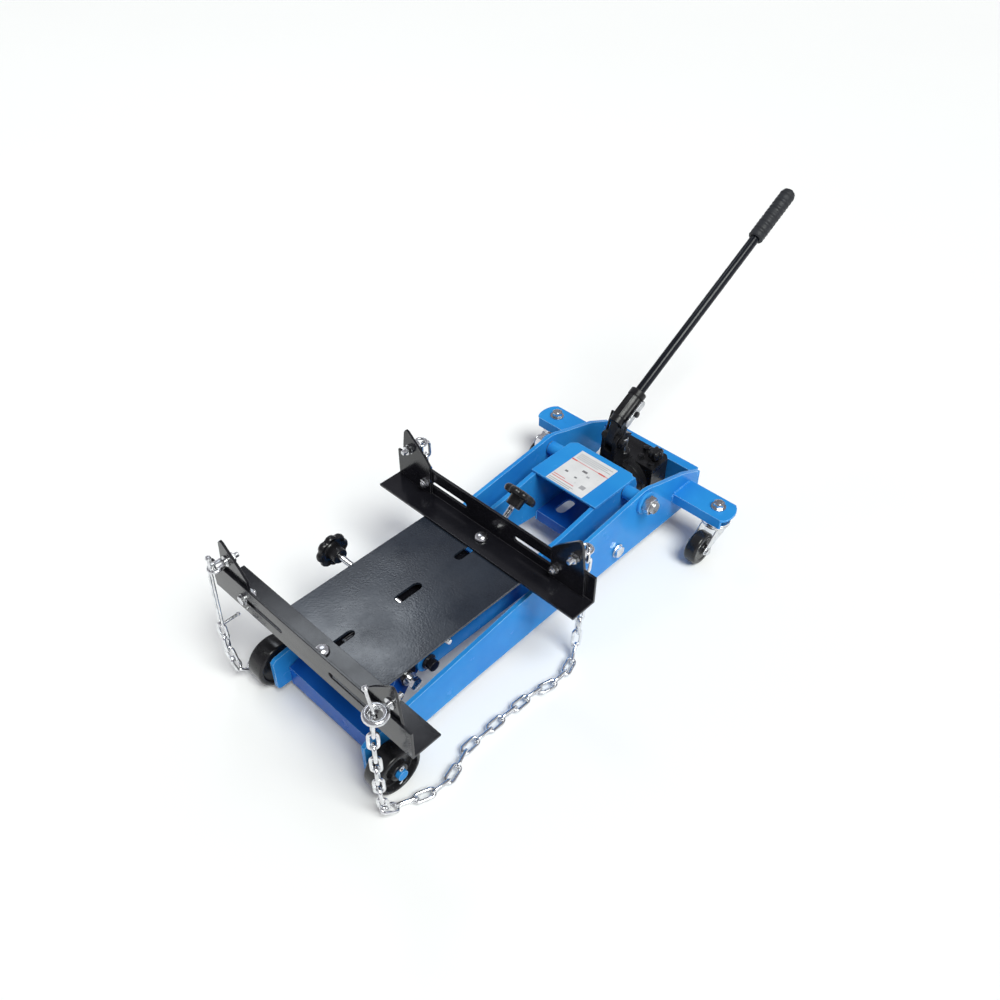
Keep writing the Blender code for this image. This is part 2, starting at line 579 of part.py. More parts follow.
# ---------------------------------------------------------------- moving pieces turn about their own origins
PIVOTS = {
    "lift_arm_left": (0, *PIVOT), "lift_arm_right": (0, *PIVOT), "arm_cover": (0, *PIVOT),
    "arm_web": (0, *PIVOT), "lower_link_left": (0, *LINK_REAR), "lower_link_right": (0, *LINK_REAR),
    "saddle_base": (0, *ARM_PIN), "arm_pin": (0, *ARM_PIN), "link_pin": (0, *ARM_PIN), "tilt_bolt": (0, *TILT_AXIS),
    "tilt_frame": (0, *TILT_AXIS), "platform": (0, -530, SIDE_AXIS_Z),
    "handle_socket": (HANDLE_X, *LEVER), "handle_tube": (HANDLE_X, *LEVER),
    "handle_grip": (HANDLE_X, *LEVER), "release_knob": (36, 12, 112),
    "front_wheel_left": (-130.5, *AXLE), "front_wheel_right": (130.5, *AXLE),
    "caster_fork_left": (-CASTER_X, 0, 64), "caster_fork_right": (CASTER_X, 0, 64),
    "caster_wheel_left": (-CASTER_X, -CASTER_TRAIL, CASTER_R),
    "caster_wheel_right": (CASTER_X, -CASTER_TRAIL, CASTER_R),
    "tilt_knob_rear": tuple(KNOB_REAR), "tilt_screw_rear": tuple(KNOB_REAR),
    "tilt_knob_side": tuple(KNOB_SIDE), "tilt_screw_side": tuple(KNOB_SIDE),
}
for name, where in PIVOTS.items():
    obj = bpy.data.objects[name]
    spot = place([where])[0]
    obj.data.transform(Matrix.Translation(-spot))
    obj.location = spot
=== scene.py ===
import json
import math
import random

import bmesh
import bpy
import numpy as np
from mathutils import Matrix, Vector


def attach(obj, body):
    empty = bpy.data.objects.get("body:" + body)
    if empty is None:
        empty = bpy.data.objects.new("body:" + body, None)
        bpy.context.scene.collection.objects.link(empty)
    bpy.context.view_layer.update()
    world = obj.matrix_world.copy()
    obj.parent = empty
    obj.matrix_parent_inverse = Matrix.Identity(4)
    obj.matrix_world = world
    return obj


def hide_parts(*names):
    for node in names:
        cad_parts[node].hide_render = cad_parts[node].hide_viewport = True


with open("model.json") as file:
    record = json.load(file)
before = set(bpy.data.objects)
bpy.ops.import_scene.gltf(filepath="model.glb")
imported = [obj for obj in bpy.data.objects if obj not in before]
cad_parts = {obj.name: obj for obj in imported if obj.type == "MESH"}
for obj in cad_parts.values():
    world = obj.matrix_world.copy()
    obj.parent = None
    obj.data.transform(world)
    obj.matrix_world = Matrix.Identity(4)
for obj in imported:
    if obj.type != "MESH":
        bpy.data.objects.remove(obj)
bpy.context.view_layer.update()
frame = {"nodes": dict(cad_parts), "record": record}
nodes = frame["nodes"]

# Lengths are in millimetres from the caster studs, as in the CAD source; SHIFT_Y centres the model.
MM = 0.001
SHIFT_Y = 167.6
SEED = 7
SIDES = (("left", -1), ("right", 1))
random.seed(SEED)


def at(p):
    """A point in stud millimetres as a place in the frame, in metres."""
    return Vector((p[0] * MM, (p[1] + SHIFT_Y) * MM, p[2] * MM))


# ------------------------------------------------------------------ camera, light and floor
def hang(name, data, backwards):
    """Puts a lamp in the scene, turned to shine against the given direction."""
    lamp = bpy.data.objects.new(name, data)
    lamp.rotation_mode = "QUATERNION"
    lamp.rotation_quaternion = backwards.to_track_quat("Z", "Y")
    bpy.context.scene.collection.objects.link(lamp)
    return lamp


CAMERA_AT = (736.5, -1109.8, 1180.4)
CAMERA_TURN = (43.66, 42.15, 0.35)  # azimuth, elevation and roll in degrees


def make_camera():
    azimuth, elevation, roll = (math.radians(v) for v in CAMERA_TURN)
    level = Vector((math.sin(azimuth), -math.cos(azimuth), 0.0))
    back = level * math.cos(elevation) + Vector((0.0, 0.0, math.sin(elevation)))
    right = Vector((math.cos(azimuth), math.sin(azimuth), 0.0))
    up = back.cross(right)
    right, up = (right * math.cos(roll) + up * math.sin(roll),
                 up * math.cos(roll) - right * math.sin(roll))
    data = bpy.data.cameras.new("camera")
    data.lens = 35.0
    data.sensor_width = 36.0
    data.clip_start = 0.01
    data.clip_end = 50.0
    cam = bpy.data.objects.new("camera", data)
    bpy.context.scene.collection.objects.link(cam)
    turn = Matrix((right, up, back)).transposed().to_4x4()
    cam.matrix_world = Matrix.Translation(at(CAMERA_AT)) @ turn
    bpy.context.scene.camera = cam


def make_area(name, where, aim, size, power, colour):
    """A rectangular lamp, with places and sizes in metres."""
    data = bpy.data.lights.new(name, "AREA")
    data.shape = "RECTANGLE"
    data.size, data.size_y = size
    data.energy = power
    data.color = colour
    lamp = hang(name, data, Vector(where) - Vector(aim))
    lamp.location = where


def make_sun(name, where, angle, strength, colour):
    """A broad distant source, which lights the floor evenly."""
    data = bpy.data.lights.new(name, "SUN")
    data.energy = strength
    data.angle = math.radians(angle)
    data.color = colour
    hang(name, data, Vector(where))


def make_world():
    """A studio that is pale near the horizon and dimmer overhead."""
    world = bpy.data.worlds.new("studio")
    bpy.context.scene.world = world
    world.use_nodes = True
    tree = world.node_tree
    tree.nodes["Background"].inputs["Color"].default_value = (0.94, 0.92, 1.0, 1.0)
    heading = tree.nodes.new("ShaderNodeSeparateXYZ")
    tree.links.new(tree.nodes.new("ShaderNodeTexCoord").outputs["Generated"], heading.inputs[0])
    fade = tree.nodes.new("ShaderNodeMapRange")
    for key, value in (("From Min", 0.0), ("From Max", 0.45), ("To Min", 0.85), ("To Max", 0.26)):
        fade.inputs[key].default_value = value
    tree.links.new(heading.outputs["Z"], fade.inputs["Value"])
    tree.links.new(fade.outputs["Result"], tree.nodes["Background"].inputs["Strength"])


make_camera()
make_sun("key", (1.7, -0.25, 2.7), 30.0, 3.1, (0.97, 1.0, 0.96))
make_area("sheen", (-1.62, 0.52, 2.5), (0, -0.40, 0.15), (0.7, 0.5), 5.5, (0.86, 0.93, 1.0))
make_world()
bpy.context.scene.view_settings.view_transform = "Standard"
bpy.context.scene.view_settings.look = "None"


# ------------------------------------------------------------------ materials
EDGE_SAMPLES = 4
BLUE_SHEEN = (0.16, 0.42, 1.0, 1.0)


class Shader:
    """A small helper that builds a procedural material node by node."""

    def __init__(self, name):
        self.mat = bpy.data.materials.new(name)
        self.mat.use_nodes = True
        self.tree = self.mat.node_tree
        self.bsdf = self.tree.nodes["Principled BSDF"]
        self.coords = self.tree.nodes.new("ShaderNodeTexCoord").outputs["Object"]

    def noise(self, scale, detail=4.0, rough=0.6):
        """Soft noise from 0 to 1; scale is in cells per metre."""
        node = self.tree.nodes.new("ShaderNodeTexNoise")
        node.inputs["Scale"].default_value = scale
        node.inputs["Detail"].default_value = detail
        node.inputs["Roughness"].default_value = rough
        self.tree.links.new(self.coords, node.inputs["Vector"])
        return node.outputs["Fac"]

    def cells(self, scale):
        """Smooth distance to the nearest of scattered points."""
        node = self.tree.nodes.new("ShaderNodeTexVoronoi")
        node.feature = "SMOOTH_F1"
        node.inputs["Scale"].default_value = scale
        self.tree.links.new(self.coords, node.inputs["Vector"])
        return node.outputs["Distance"]

    def ramp(self, source, low, high, a, b):
        """Maps source from low..high to a..b, where a and b are numbers."""
        node = self.tree.nodes.new("ShaderNodeMapRange")
        node.inputs["From Min"].default_value = low
        node.inputs["From Max"].default_value = high
        node.inputs["To Min"].default_value = a
        node.inputs["To Max"].default_value = b
        self.tree.links.new(source, node.inputs["Value"])
        return node.outputs["Result"]

    def mix(self, fac, a, b):
        """Mixes two colours, each a triple or a socket."""
        node = self.tree.nodes.new("ShaderNodeMix")
        node.data_type = "RGBA"
        self.tree.links.new(fac, node.inputs["Factor"])
        for socket, value in (("A", a), ("B", b)):
            target = [i for i in node.inputs if i.name == socket and i.type == "RGBA"][0]
            if isinstance(value, tuple):
                target.default_value = (*value, 1.0)
            else:
                self.tree.links.new(value, target)
        return [o for o in node.outputs if o.type == "RGBA"][0]

    def maths(self, how, a, b):
        """One maths node on two numbers or sockets."""
        node = self.tree.nodes.new("ShaderNodeMath")
        node.operation = how
        for i, value in enumerate((a, b)):
            if isinstance(value, (int, float)):
                node.inputs[i].default_value = value
            else:
                self.tree.links.new(value, node.inputs[i])
        return node.outputs[0]

    def edge(self, radius, sharp=0.35):
        """1 on outer edges, 0 elsewhere."""
        bevel = self.tree.nodes.new("ShaderNodeBevel")
        bevel.samples = EDGE_SAMPLES
        bevel.inputs["Radius"].default_value = radius
        geometry = self.tree.nodes.new("ShaderNodeNewGeometry")
        dot = self.tree.nodes.new("ShaderNodeVectorMath")
        dot.operation = "DOT_PRODUCT"
        self.tree.links.new(bevel.outputs["Normal"], dot.inputs[0])
        self.tree.links.new(geometry.outputs["Normal"], dot.inputs[1])
        return self.ramp(dot.outputs["Value"], 1.0, 1.0 - sharp, 0.0, 1.0)

    def bump(self, *layers):
        """Adds bumps, each given as (height socket, distance in metres, strength)."""
        last = None
        for height, distance, strength in layers:
            node = self.tree.nodes.new("ShaderNodeBump")
            node.inputs["Distance"].default_value = distance
            node.inputs["Strength"].default_value = strength
            self.tree.links.new(height, node.inputs["Height"])
            if last is not None:
                self.tree.links.new(last, node.inputs["Normal"])
            last = node.outputs["Normal"]
        self.tree.links.new(last, self.bsdf.inputs["Normal"])

    def set(self, **values):
        """Sets or links sockets of the Principled node, with _ for each space in a name."""
        for key, value in values.items():
            socket = self.bsdf.inputs[key.replace("_", " ")]
            if isinstance(value, bpy.types.NodeSocket):
                self.tree.links.new(value, socket)
            else:
                socket.default_value = value


def enamel(name, base, deep, roughness=0.20):
    """Sprayed gloss enamel: slight orange peel, thin dust, and paler edges that are partly wear and
    partly a painted edge highlight.
    """
    s = Shader(name)
    cloudy = s.ramp(s.noise(9.0, 3.0), 0.35, 0.65, 0.0, 1.0)
    colour = s.mix(cloudy, base, deep)
    dusty = s.ramp(s.noise(60.0, 6.0, 0.7), 0.56, 0.75, 0.0, 0.03)
    colour = s.mix(dusty, colour, (0.22, 0.36, 0.60))
    # paler sky-blue edges: partly paint wear, partly a painted highlight along the edges
    patchy = s.ramp(s.noise(140.0, 5.0, 0.7), 0.26, 0.56, 0.35, 1.0)
    edge_wear_and_highlight = s.maths("MULTIPLY", s.edge(0.0020), patchy)
    colour = s.mix(edge_wear_and_highlight, colour, (0.42, 0.74, 0.98))
    rough = s.ramp(s.noise(30.0, 5.0), 0.3, 0.7, roughness - 0.05, roughness + 0.09)
    s.set(Base_Color=colour, Roughness=rough, Specular_IOR_Level=0.2, Specular_Tint=BLUE_SHEEN)
    s.bump((s.noise(420.0, 2.0), 0.0004, 0.10), (s.noise(55.0, 2.0), 0.0006, 0.06))
    return s.mat


def powder(name, base, pale, grain, depth, roughness, specular=0.5):
    """Black powder coat: fine pebble, and bright edges that are partly wear and partly a painted
    edge highlight.
    """
    s = Shader(name)
    colour = s.mix(s.ramp(s.noise(14.0, 5.0), 0.35, 0.7, 0.0, 1.0), base, pale)
    speck = s.ramp(s.noise(grain, 3.0, 0.6), 0.52, 0.74, 0.0, 0.5)
    colour = s.mix(speck, colour, tuple(min(1.0, 2.4 * c) for c in pale))
    # grey edges: partly wear, partly a painted highlight along the edges
    patchy = s.ramp(s.noise(190.0, 5.0, 0.7), 0.34, 0.60, 0.1, 0.9)
    edge_wear_and_highlight = s.maths("MULTIPLY", s.edge(0.0010), patchy)
    colour = s.mix(edge_wear_and_highlight, colour, (0.26, 0.26, 0.27))
    rough = s.ramp(s.noise(22.0, 5.0), 0.3, 0.7, roughness - 0.05, roughness + 0.07)
    s.set(Base_Color=colour, Roughness=rough, Specular_IOR_Level=specular)
    s.bump((s.noise(grain, 3.0, 0.65), 0.0005, depth), (s.noise(70.0, 3.0), 0.0006, 0.08))
    return s.mat


def hammered(name, base, pale):
    """Glossy dark paint that dried in shallow dimples on a slightly wavy plate."""
    s = Shader(name)
    dimples = s.ramp(s.cells(420.0), 0.0, 0.75, 0.0, 1.0)
    colour = s.mix(s.ramp(s.noise(9.0, 4.0), 0.35, 0.68, 0.0, 1.0), base, pale)
    colour = s.mix(s.maths("MULTIPLY", dimples, 0.25), colour, tuple(1.8 * c for c in pale))
    patchy = s.ramp(s.noise(190.0, 5.0, 0.7), 0.44, 0.62, 0.0, 0.7)
    edge_wear_and_highlight = s.maths("MULTIPLY", s.edge(0.0010), patchy)
    colour = s.mix(edge_wear_and_highlight, colour, (0.16, 0.17, 0.18))
    rough = s.ramp(s.noise(11.0, 5.0, 0.65), 0.36, 0.64, 0.12, 0.26)
    s.set(Base_Color=colour, Roughness=rough, Specular_IOR_Level=0.6)
    waves = s.noise(8.0, 1.0)
    s.bump((waves, 0.004, 0.35), (dimples, 0.0003, 0.16), (s.noise(150.0, 3.0), 0.0005, 0.08))
    return s.mat


def plated(name, base, roughness=0.2, grain=0.12):
    """Bright zinc plate: patchy sheen, faint handling marks and a fine grain."""
    s = Shader(name)
    sheen = s.ramp(s.noise(80.0, 5.0), 0.35, 0.68, 0.0, 1.0)
    colour = s.mix(sheen, base, tuple(0.72 * c for c in base))
    stain = s.ramp(s.noise(240.0, 5.0, 0.7), 0.6, 0.8, 0.0, 0.5)
    colour = s.mix(stain, colour, (0.42, 0.41, 0.38))
    rough = s.ramp(s.noise(160.0, 4.0), 0.3, 0.7, roughness - 0.06, roughness + 0.14)
    s.set(Base_Color=colour, Metallic=1.0, Roughness=rough)
    s.bump((s.noise(700.0, 3.0), 0.0003, grain))
    return s.mat


def moulded(name, base, roughness, grain=1400.0, depth=0.12):
    """Moulded plastic or rubber with a fine grain and rubbed high spots."""
    s = Shader(name)
    cloudy = s.ramp(s.noise(35.0, 5.0), 0.35, 0.7, 0.0, 1.0)
    colour = s.mix(cloudy, base, tuple(1.9 * c for c in base))
    patchy = s.ramp(s.noise(220.0, 4.0), 0.42, 0.62, 0.0, 0.6)
    rubbed = s.maths("MULTIPLY", s.edge(0.0016), patchy)
    colour = s.mix(rubbed, colour, (0.11, 0.11, 0.11))
    rough = s.ramp(s.noise(45.0, 5.0), 0.3, 0.7, roughness - 0.08, roughness + 0.12)
    s.set(Base_Color=colour, Roughness=rough, Specular_IOR_Level=0.4)
    s.bump((s.noise(grain, 2.0), 0.0003, depth))
    return s.mat


def casting(name):
    """Painted sand casting: gloss black over a lumpy skin."""
    s = Shader(name)
    cloudy = s.ramp(s.noise(40.0, 6.0), 0.35, 0.7, 0.0, 1.0)
    colour = s.mix(cloudy, (0.004, 0.004, 0.005), (0.014, 0.014, 0.016))
    patchy = s.ramp(s.noise(160.0, 5.0), 0.46, 0.62, 0.0, 0.7)
    edge_wear_and_highlight = s.maths("MULTIPLY", s.edge(0.0012), patchy)
    colour = s.mix(edge_wear_and_highlight, colour, (0.12, 0.12, 0.125))
    rough = s.ramp(s.noise(70.0, 5.0), 0.3, 0.7, 0.2, 0.42)
    s.set(Base_Color=colour, Roughness=rough, Specular_IOR_Level=0.3)
    s.bump((s.noise(260.0, 5.0, 0.65), 0.0008, 0.25))
    return s.mat


def sticker(name):
    """A blank data label: off-white film, two thin red rules, grey blocks that say nothing."""
    s = Shader(name)
    split = s.tree.nodes.new("ShaderNodeSeparateXYZ")
    s.tree.links.new(s.coords, split.inputs[0])
    x, y = split.outputs["X"], split.outputs["Y"]

    def band(source, low, high):
        above = s.maths("GREATER_THAN", source, low)
        return s.maths("MULTIPLY", above, s.maths("LESS_THAN", source, high))

    mottle = s.ramp(s.noise(30.0, 4.0), 0.3, 0.7, 0.0, 1.0)
    paper = s.mix(mottle, (0.74, 0.74, 0.75), (0.64, 0.64, 0.65))
    y0 = (-146 + SHIFT_Y) * MM
    red, ink, pale = (0.60, 0.05, 0.04), (0.05, 0.05, 0.06), (0.30, 0.30, 0.32)
    for offset, left, right, tint, reach in (
        (0.0215, -0.038, 0.038, red, 0.0007), (0.0215, -0.038, -0.027, red, 0.0017),
        (0.0215, 0.018, 0.032, red, 0.0017),
        (0.0400, -0.034, 0.034, pale, 0.0007), (0.0360, -0.034, 0.026, pale, 0.0007),
        (0.0320, -0.034, 0.034, pale, 0.0007), (0.0280, -0.034, 0.012, pale, 0.0007),
        (0.0080, -0.004, 0.006, ink, 0.0024), (0.0010, 0.010, 0.016, pale, 0.0020),
        (-0.0100, -0.026, -0.020, ink, 0.0020), (-0.0130, -0.004, 0.001, ink, 0.0016),
        (-0.0250, 0.018, 0.028, pale, 0.0045), (-0.0270, -0.036, -0.012, red, 0.0008),
        (-0.0320, -0.036, 0.010, red, 0.0008), (-0.0380, -0.036, 0.014, pale, 0.0008),
        (-0.0420, -0.036, 0.010, pale, 0.0008),
    ):
        middle = y0 + offset
        lengthwise = band(y, middle - reach, middle + reach)
        inside = s.maths("MULTIPLY", band(x, left, right), lengthwise)
        paper = s.mix(s.maths("MULTIPLY", inside, 0.85), paper, tint)
    s.set(Base_Color=paper, Roughness=s.ramp(s.noise(90.0), 0.3, 0.7, 0.26, 0.42), Coat_Weight=0.25)
    s.bump((s.noise(120.0, 3.0), 0.0003, 0.1))
    return s.mat


BLUE = enamel("blue_enamel", (0.026, 0.265, 0.660), (0.018, 0.215, 0.610))
# SHADED_BLUE is the blue enamel made darker and deeper: painted shade for parts that sit in shadow
# under the deck and irons
SHADED_BLUE = enamel("blue_enamel_painted_shade", (0.008, 0.112, 0.480), (0.006, 0.088, 0.420))
DECK = hammered("deck_enamel", (0.008, 0.011, 0.018), (0.018, 0.024, 0.036))
BLACK = powder("black_powder", (0.004, 0.004, 0.006), (0.010, 0.010, 0.013), 1100.0, 0.10, 0.13)
ZINC = plated("zinc_plate", (0.80, 0.81, 0.83))
CHAIN = plated("chain_zinc", (0.88, 0.89, 0.91), 0.15)
STEEL = plated("turned_steel", (0.60, 0.61, 0.63), 0.3, 0.22)
KNOB = moulded("knob_plastic", (0.006, 0.006, 0.007), 0.30)
TYRE = moulded("wheel_plastic", (0.009, 0.009, 0.010), 0.20, 900.0, 0.10)
GRIP = moulded("grip_rubber", (0.011, 0.012, 0.015), 0.5, 1800.0, 0.2)
CAST = casting("black_casting")
TUBE = powder("tube_black", (0.006, 0.007, 0.011), (0.010, 0.011, 0.015), 1500.0, 0.02, 0.20,
              specular=0.2)
LABEL = sticker("blank_label")


# ------------------------------------------------------------------ mesh tools
X_AXIS, Y_AXIS, Z_AXIS, LEFTWARDS = (1, 0, 0), (0, 1, 0), (0, 0, 1), (-1, 0, 0)
WELD_GAP = 1e-7
CAD_WELD_GAP = 0.00002
SHARP_ANGLE = 35.0
BEVEL_ANGLE = 32.0


def add(name, bm, material, body, stands_for=(), bevel=0.0, weld=True):
    """Turns a bmesh in metres into a piece that rides on a body."""
    if weld:
        bmesh.ops.remove_doubles(bm, verts=bm.verts, dist=WELD_GAP)
    bmesh.ops.recalc_face_normals(bm, faces=bm.faces)
    mesh = bpy.data.meshes.new(name)
    bm.to_mesh(mesh)
    bm.free()
    mesh.shade_smooth()
    mesh.set_sharp_from_angle(angle=math.radians(SHARP_ANGLE))
    obj = bpy.data.objects.new(name, mesh)
    bpy.context.scene.collection.objects.link(obj)
    mesh.materials.append(material)
    if bevel:
        soften(obj, bevel)
    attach(obj, body)
    if stands_for:
        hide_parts(*stands_for)
    return obj


def soften(obj, width):
    """Rounds a piece's sharp edges, width in millimetres."""
    step = obj.modifiers.new("edges", "BEVEL")
    step.width = width * MM
    step.segments = 2
    step.limit_method = "ANGLE"
    step.angle_limit = math.radians(BEVEL_ANGLE)
    step.harden_normals = False
    step.miter_outer = "MITER_ARC"
    even = obj.modifiers.new("even", "WEIGHTED_NORMAL")
    even.keep_sharp = False


def basis(direction, spin=0.0):
    """Two vectors square to a direction and turned by spin, then the direction itself."""
    direction = Vector(direction).normalized()
    side = Vector(Z_AXIS).cross(direction) if abs(direction.z) < 0.9 else Vector(X_AXIS)
    side = (side - direction * side.dot(direction)).normalized()
    other = direction.cross(side)
    cosine, sine = math.cos(spin), math.sin(spin)
    return side * cosine + other * sine, other * cosine - side * sine, direction


def lathe(bm, origin, direction, profile, count=48, ring=False, reshape=None, spin=0.0):
    """Turns a (radius, along) profile about an axis; ring closes the profile on itself.

    reshape(radius, along, angle) can give a point another radius, and a lift along the axis.
    """
    side, other, direction = basis(direction, spin)
    rows = []
    for radius, along in profile:
        centre = Vector(origin) + direction * along
        if radius == 0.0:
            rows.append([bm.verts.new(at(centre))])
            continue
        row = []
        for i in range(count):
            t = 2 * math.pi * i / count
            r, lift = reshape(radius, along, t) if reshape else (radius, 0.0)
            rim = (side * math.cos(t) + other * math.sin(t)) * r
            row.append(bm.verts.new(at(centre + rim + direction * lift)))
        rows.append(row)
    pairs = list(zip(rows, rows[1:])) + ([(rows[-1], rows[0])] if ring else [])
    for near, far in pairs:
        for i in range(count):
            j = (i + 1) % count
            if len(near) == 1 and len(far) == 1:
                continue
            if len(near) == 1:
                bm.faces.new((near[0], far[i], far[j]))
            elif len(far) == 1:
                bm.faces.new((near[i], near[j], far[0]))
            else:
                bm.faces.new((near[i], near[j], far[j], far[i]))
    return bm


def bar(radius, low, high):
    """Profile of a plain round bar."""
    return [(0, low), (radius, low), (radius, high), (0, high)]


def tube(inner, outer, low, high):
    """Profile of a plain tube or washer, to be closed on itself."""
    return [(inner, low), (outer, low), (outer, high), (inner, high)]


def rounded(profile, r, steps=3):
    """Rounds the inner corners of an open profile."""
    out = [profile[0]]
    for a, b, c in zip(profile, profile[1:], profile[2:]):
        a, b, c = Vector(a), Vector(b), Vector(c)
        reach = min(r, (a - b).length * 0.45, (c - b).length * 0.45)
        if reach < 0.02:
            out.append(tuple(b))
            continue
        p, q = b + (a - b).normalized() * reach, b + (c - b).normalized() * reach
        for i in range(steps + 1):
            t = i / steps
            out.append(tuple(p * (1 - t) ** 2 + b * 2 * t * (1 - t) + q * t**2))
    out.append(profile[-1])
    return [(max(0.0, u), v) for u, v in out]


def hexagon(bm, origin, direction, flats, low, high, bore=0.0, spin=0.0):
    """A chamfered hex head or nut between two heights along its axis."""
    rim = flats / 2
    sector = math.pi / 3

    def shape(radius, along, t):
        if radius < rim * 0.9:
            return radius, 0.0
        if radius < rim * 0.99:
            return rim * 0.96, 0.0
        r = rim / math.cos((t + sector / 2) % sector - sector / 2)
        lift = (r - rim * 0.96) * 0.5
        return r, lift if along < (low + high) / 2 else -lift

    profile = [(rim * 0.96, low), (rim, low), (rim, high), (rim * 0.96, high)]
    profile = [(bore, low), *profile, (bore, high)]
    return lathe(bm, origin, direction, profile, 36, bore > 0.0, shape, spin)


def thread(radius, start, end, pitch=1.4, depth=0.7):
    """Profile points of a threaded run."""
    turns = max(2, int(abs(end - start) / pitch))
    step = (end - start) / turns
    out = []
    for i in range(turns):
        out.append((radius - depth, start + step * i))
        out.append((radius, start + step * (i + 0.5)))
    out.append((radius - depth, end))
    return out


def tube_path(bm, points, radius, count=14, closed=False):
    """Sweeps a round section along points."""
    pts = [Vector(p) for p in points]
    n = len(pts)
    frames = []
    side = None
    for i in range(n):
        before = pts[(i - 1) % n] if closed or i else pts[i]
        after = pts[(i + 1) % n] if closed or i < n - 1 else pts[i]
        tangent = (after - before).normalized()
        if side is None:
            side = tangent.orthogonal().normalized()
        side = (side - tangent * side.dot(tangent)).normalized()
        frames.append((side.copy(), tangent.cross(side)))
    angles = [2 * math.pi * k / count for k in range(count)]
    rows = [[bm.verts.new(at(p + (a * math.cos(t) + b * math.sin(t)) * radius)) for t in angles]
            for p, (a, b) in zip(pts, frames)]
    pairs = [(near, far, 0) for near, far in zip(rows, rows[1:])]
    if closed:
        # the last ring is matched to the first one, so that the seam doesn't twist
        last = rows[-1][0].co
        shift = min(range(count), key=lambda k: (rows[0][k].co - last).length)
        pairs.append((rows[-1], rows[0], shift))
    for near, far, off in pairs:
        for i in range(count):
            j = (i + 1) % count
            bm.faces.new((near[i], near[j], far[(j + off) % count], far[(i + off) % count]))
    if not closed:
        bm.faces.new(rows[0][::-1])
        bm.faces.new(rows[-1])
    return bm


def slab(bm, outline, axis, low, high):
    """An outline given thickness along an axis."""
    place = {
        "x": lambda a, b, t: (t, a, b),
        "y": lambda a, b, t: (a, t, b),
        "z": lambda a, b, t: (a, b, t),
    }[axis]
    lower = [bm.verts.new(at(place(a, b, low))) for a, b in outline]
    upper = [bm.verts.new(at(place(a, b, high))) for a, b in outline]
    bm.faces.new(lower)
    bm.faces.new(upper)
    for i in range(len(outline)):
        j = (i + 1) % len(outline)
        bm.faces.new((lower[i], lower[j], upper[j], upper[i]))
    return bm


def arc(centre, radius, first, last, count=8):
    """Points of an arc between two angles in degrees."""
    steps = [math.radians(first + (last - first) * i / count) for i in range(count + 1)]
    return [(centre[0] + radius * math.cos(t), centre[1] + radius * math.sin(t)) for t in steps]


def around(count):
    """Equal angles once round a circle."""
    return np.linspace(0, 2 * math.pi, count + 1)[:-1]


BODY_OF = {n: b for b, ns in frame["record"]["behaviour"]["bodies"].items() for n in ns}


def turned(name, origin, direction, profile, material, node=None, body=None, count=48,
           ring=False, reshape=None):
    """A single lathed piece, standing for a CAD node if one is named."""
    bm = lathe(bmesh.new(), origin, direction, profile, count, ring, reshape)
    return add(name, bm, material, body or BODY_OF[node], (node,) if node else ())


# ------------------------------------------------------------------ CAD nodes that stay
PAINTED = {
    BLUE: ("side_plate_left", "side_plate_right", "caster_wing_left", "caster_wing_right",
           "rear_tie", "lift_arm_left", "lift_arm_right", "arm_cover"),
    # parts that sit in shadow take the darker copy of the blue enamel, as painted shade
    SHADED_BLUE: ("front_channel", "lower_link_left", "lower_link_right", "arm_web", "saddle_base"),
    BLACK: ("angle_iron_front", "angle_iron_rear", "jaw_front_left", "jaw_front_right",
            "jaw_rear_left", "jaw_rear_right", "tilt_frame"),
    DECK: ("platform",),
    CAST: ("pump_block", "handle_socket"),
}
THICK_PLATE = ("side", "lift", "lower", "arm", "saddle", "front", "rear")
for material, names in PAINTED.items():
    for name in names:
        obj = nodes[name]
        obj.data.materials.clear()
        obj.data.materials.append(material)
        weld = obj.modifiers.new("weld", "WELD")
        weld.merge_threshold = CAD_WELD_GAP
        soften(obj, 0.9 if name.startswith(THICK_PLATE) else 0.7)

# ------------------------------------------------------------------ wheels and casters
AXLE = (-681.0, 38.0)
PIN_X = 150.4
STUD_X = 178.0
CASTER_HUB = (-41.0, 29.0)
TREAD = [
    (8.6, 114.5), (14, 114.5), (15.5, 119), (29.5, 119), (31, 114.5), (35.2, 114.5), (38, 117.0),
    (38, 144.0), (35.2, 146.5), (31.2, 146.5), (29.6, 136.5), (15.5, 136.5), (14, 146.0),
    (8.6, 146.0),
]
ROLLER = [
    (4.6, -12), (9.8, -12), (10.8, -9.5), (19.6, -9.5), (21.2, -10.8), (26.6, -10.8),
    (29.0, -7.6), (29.0, 7.6), (26.6, 10.8), (21.2, 10.8), (19.6, 9.5), (10.8, 9.5), (9.8, 12),
    (4.6, 12),
]
RACE = [
    (0, 59.8), (21.5, 59.8), (24.4, 62.2), (24.4, 65.2), (22.6, 65.8), (24.4, 66.4),
    (24.4, 70.4), (12, 70.4), (12, 87.3), (6.2, 87.4),
]
STUD = [(6.2, 92.2), *thread(6.2, 92.4, 102.6), (0, 103)]
CHEEK = [(-21, 59.5)] + arc(CASTER_HUB, 8.0, 160, 345, 10) + [(17, 47), (21.5, 56), (21.5, 59.5)]
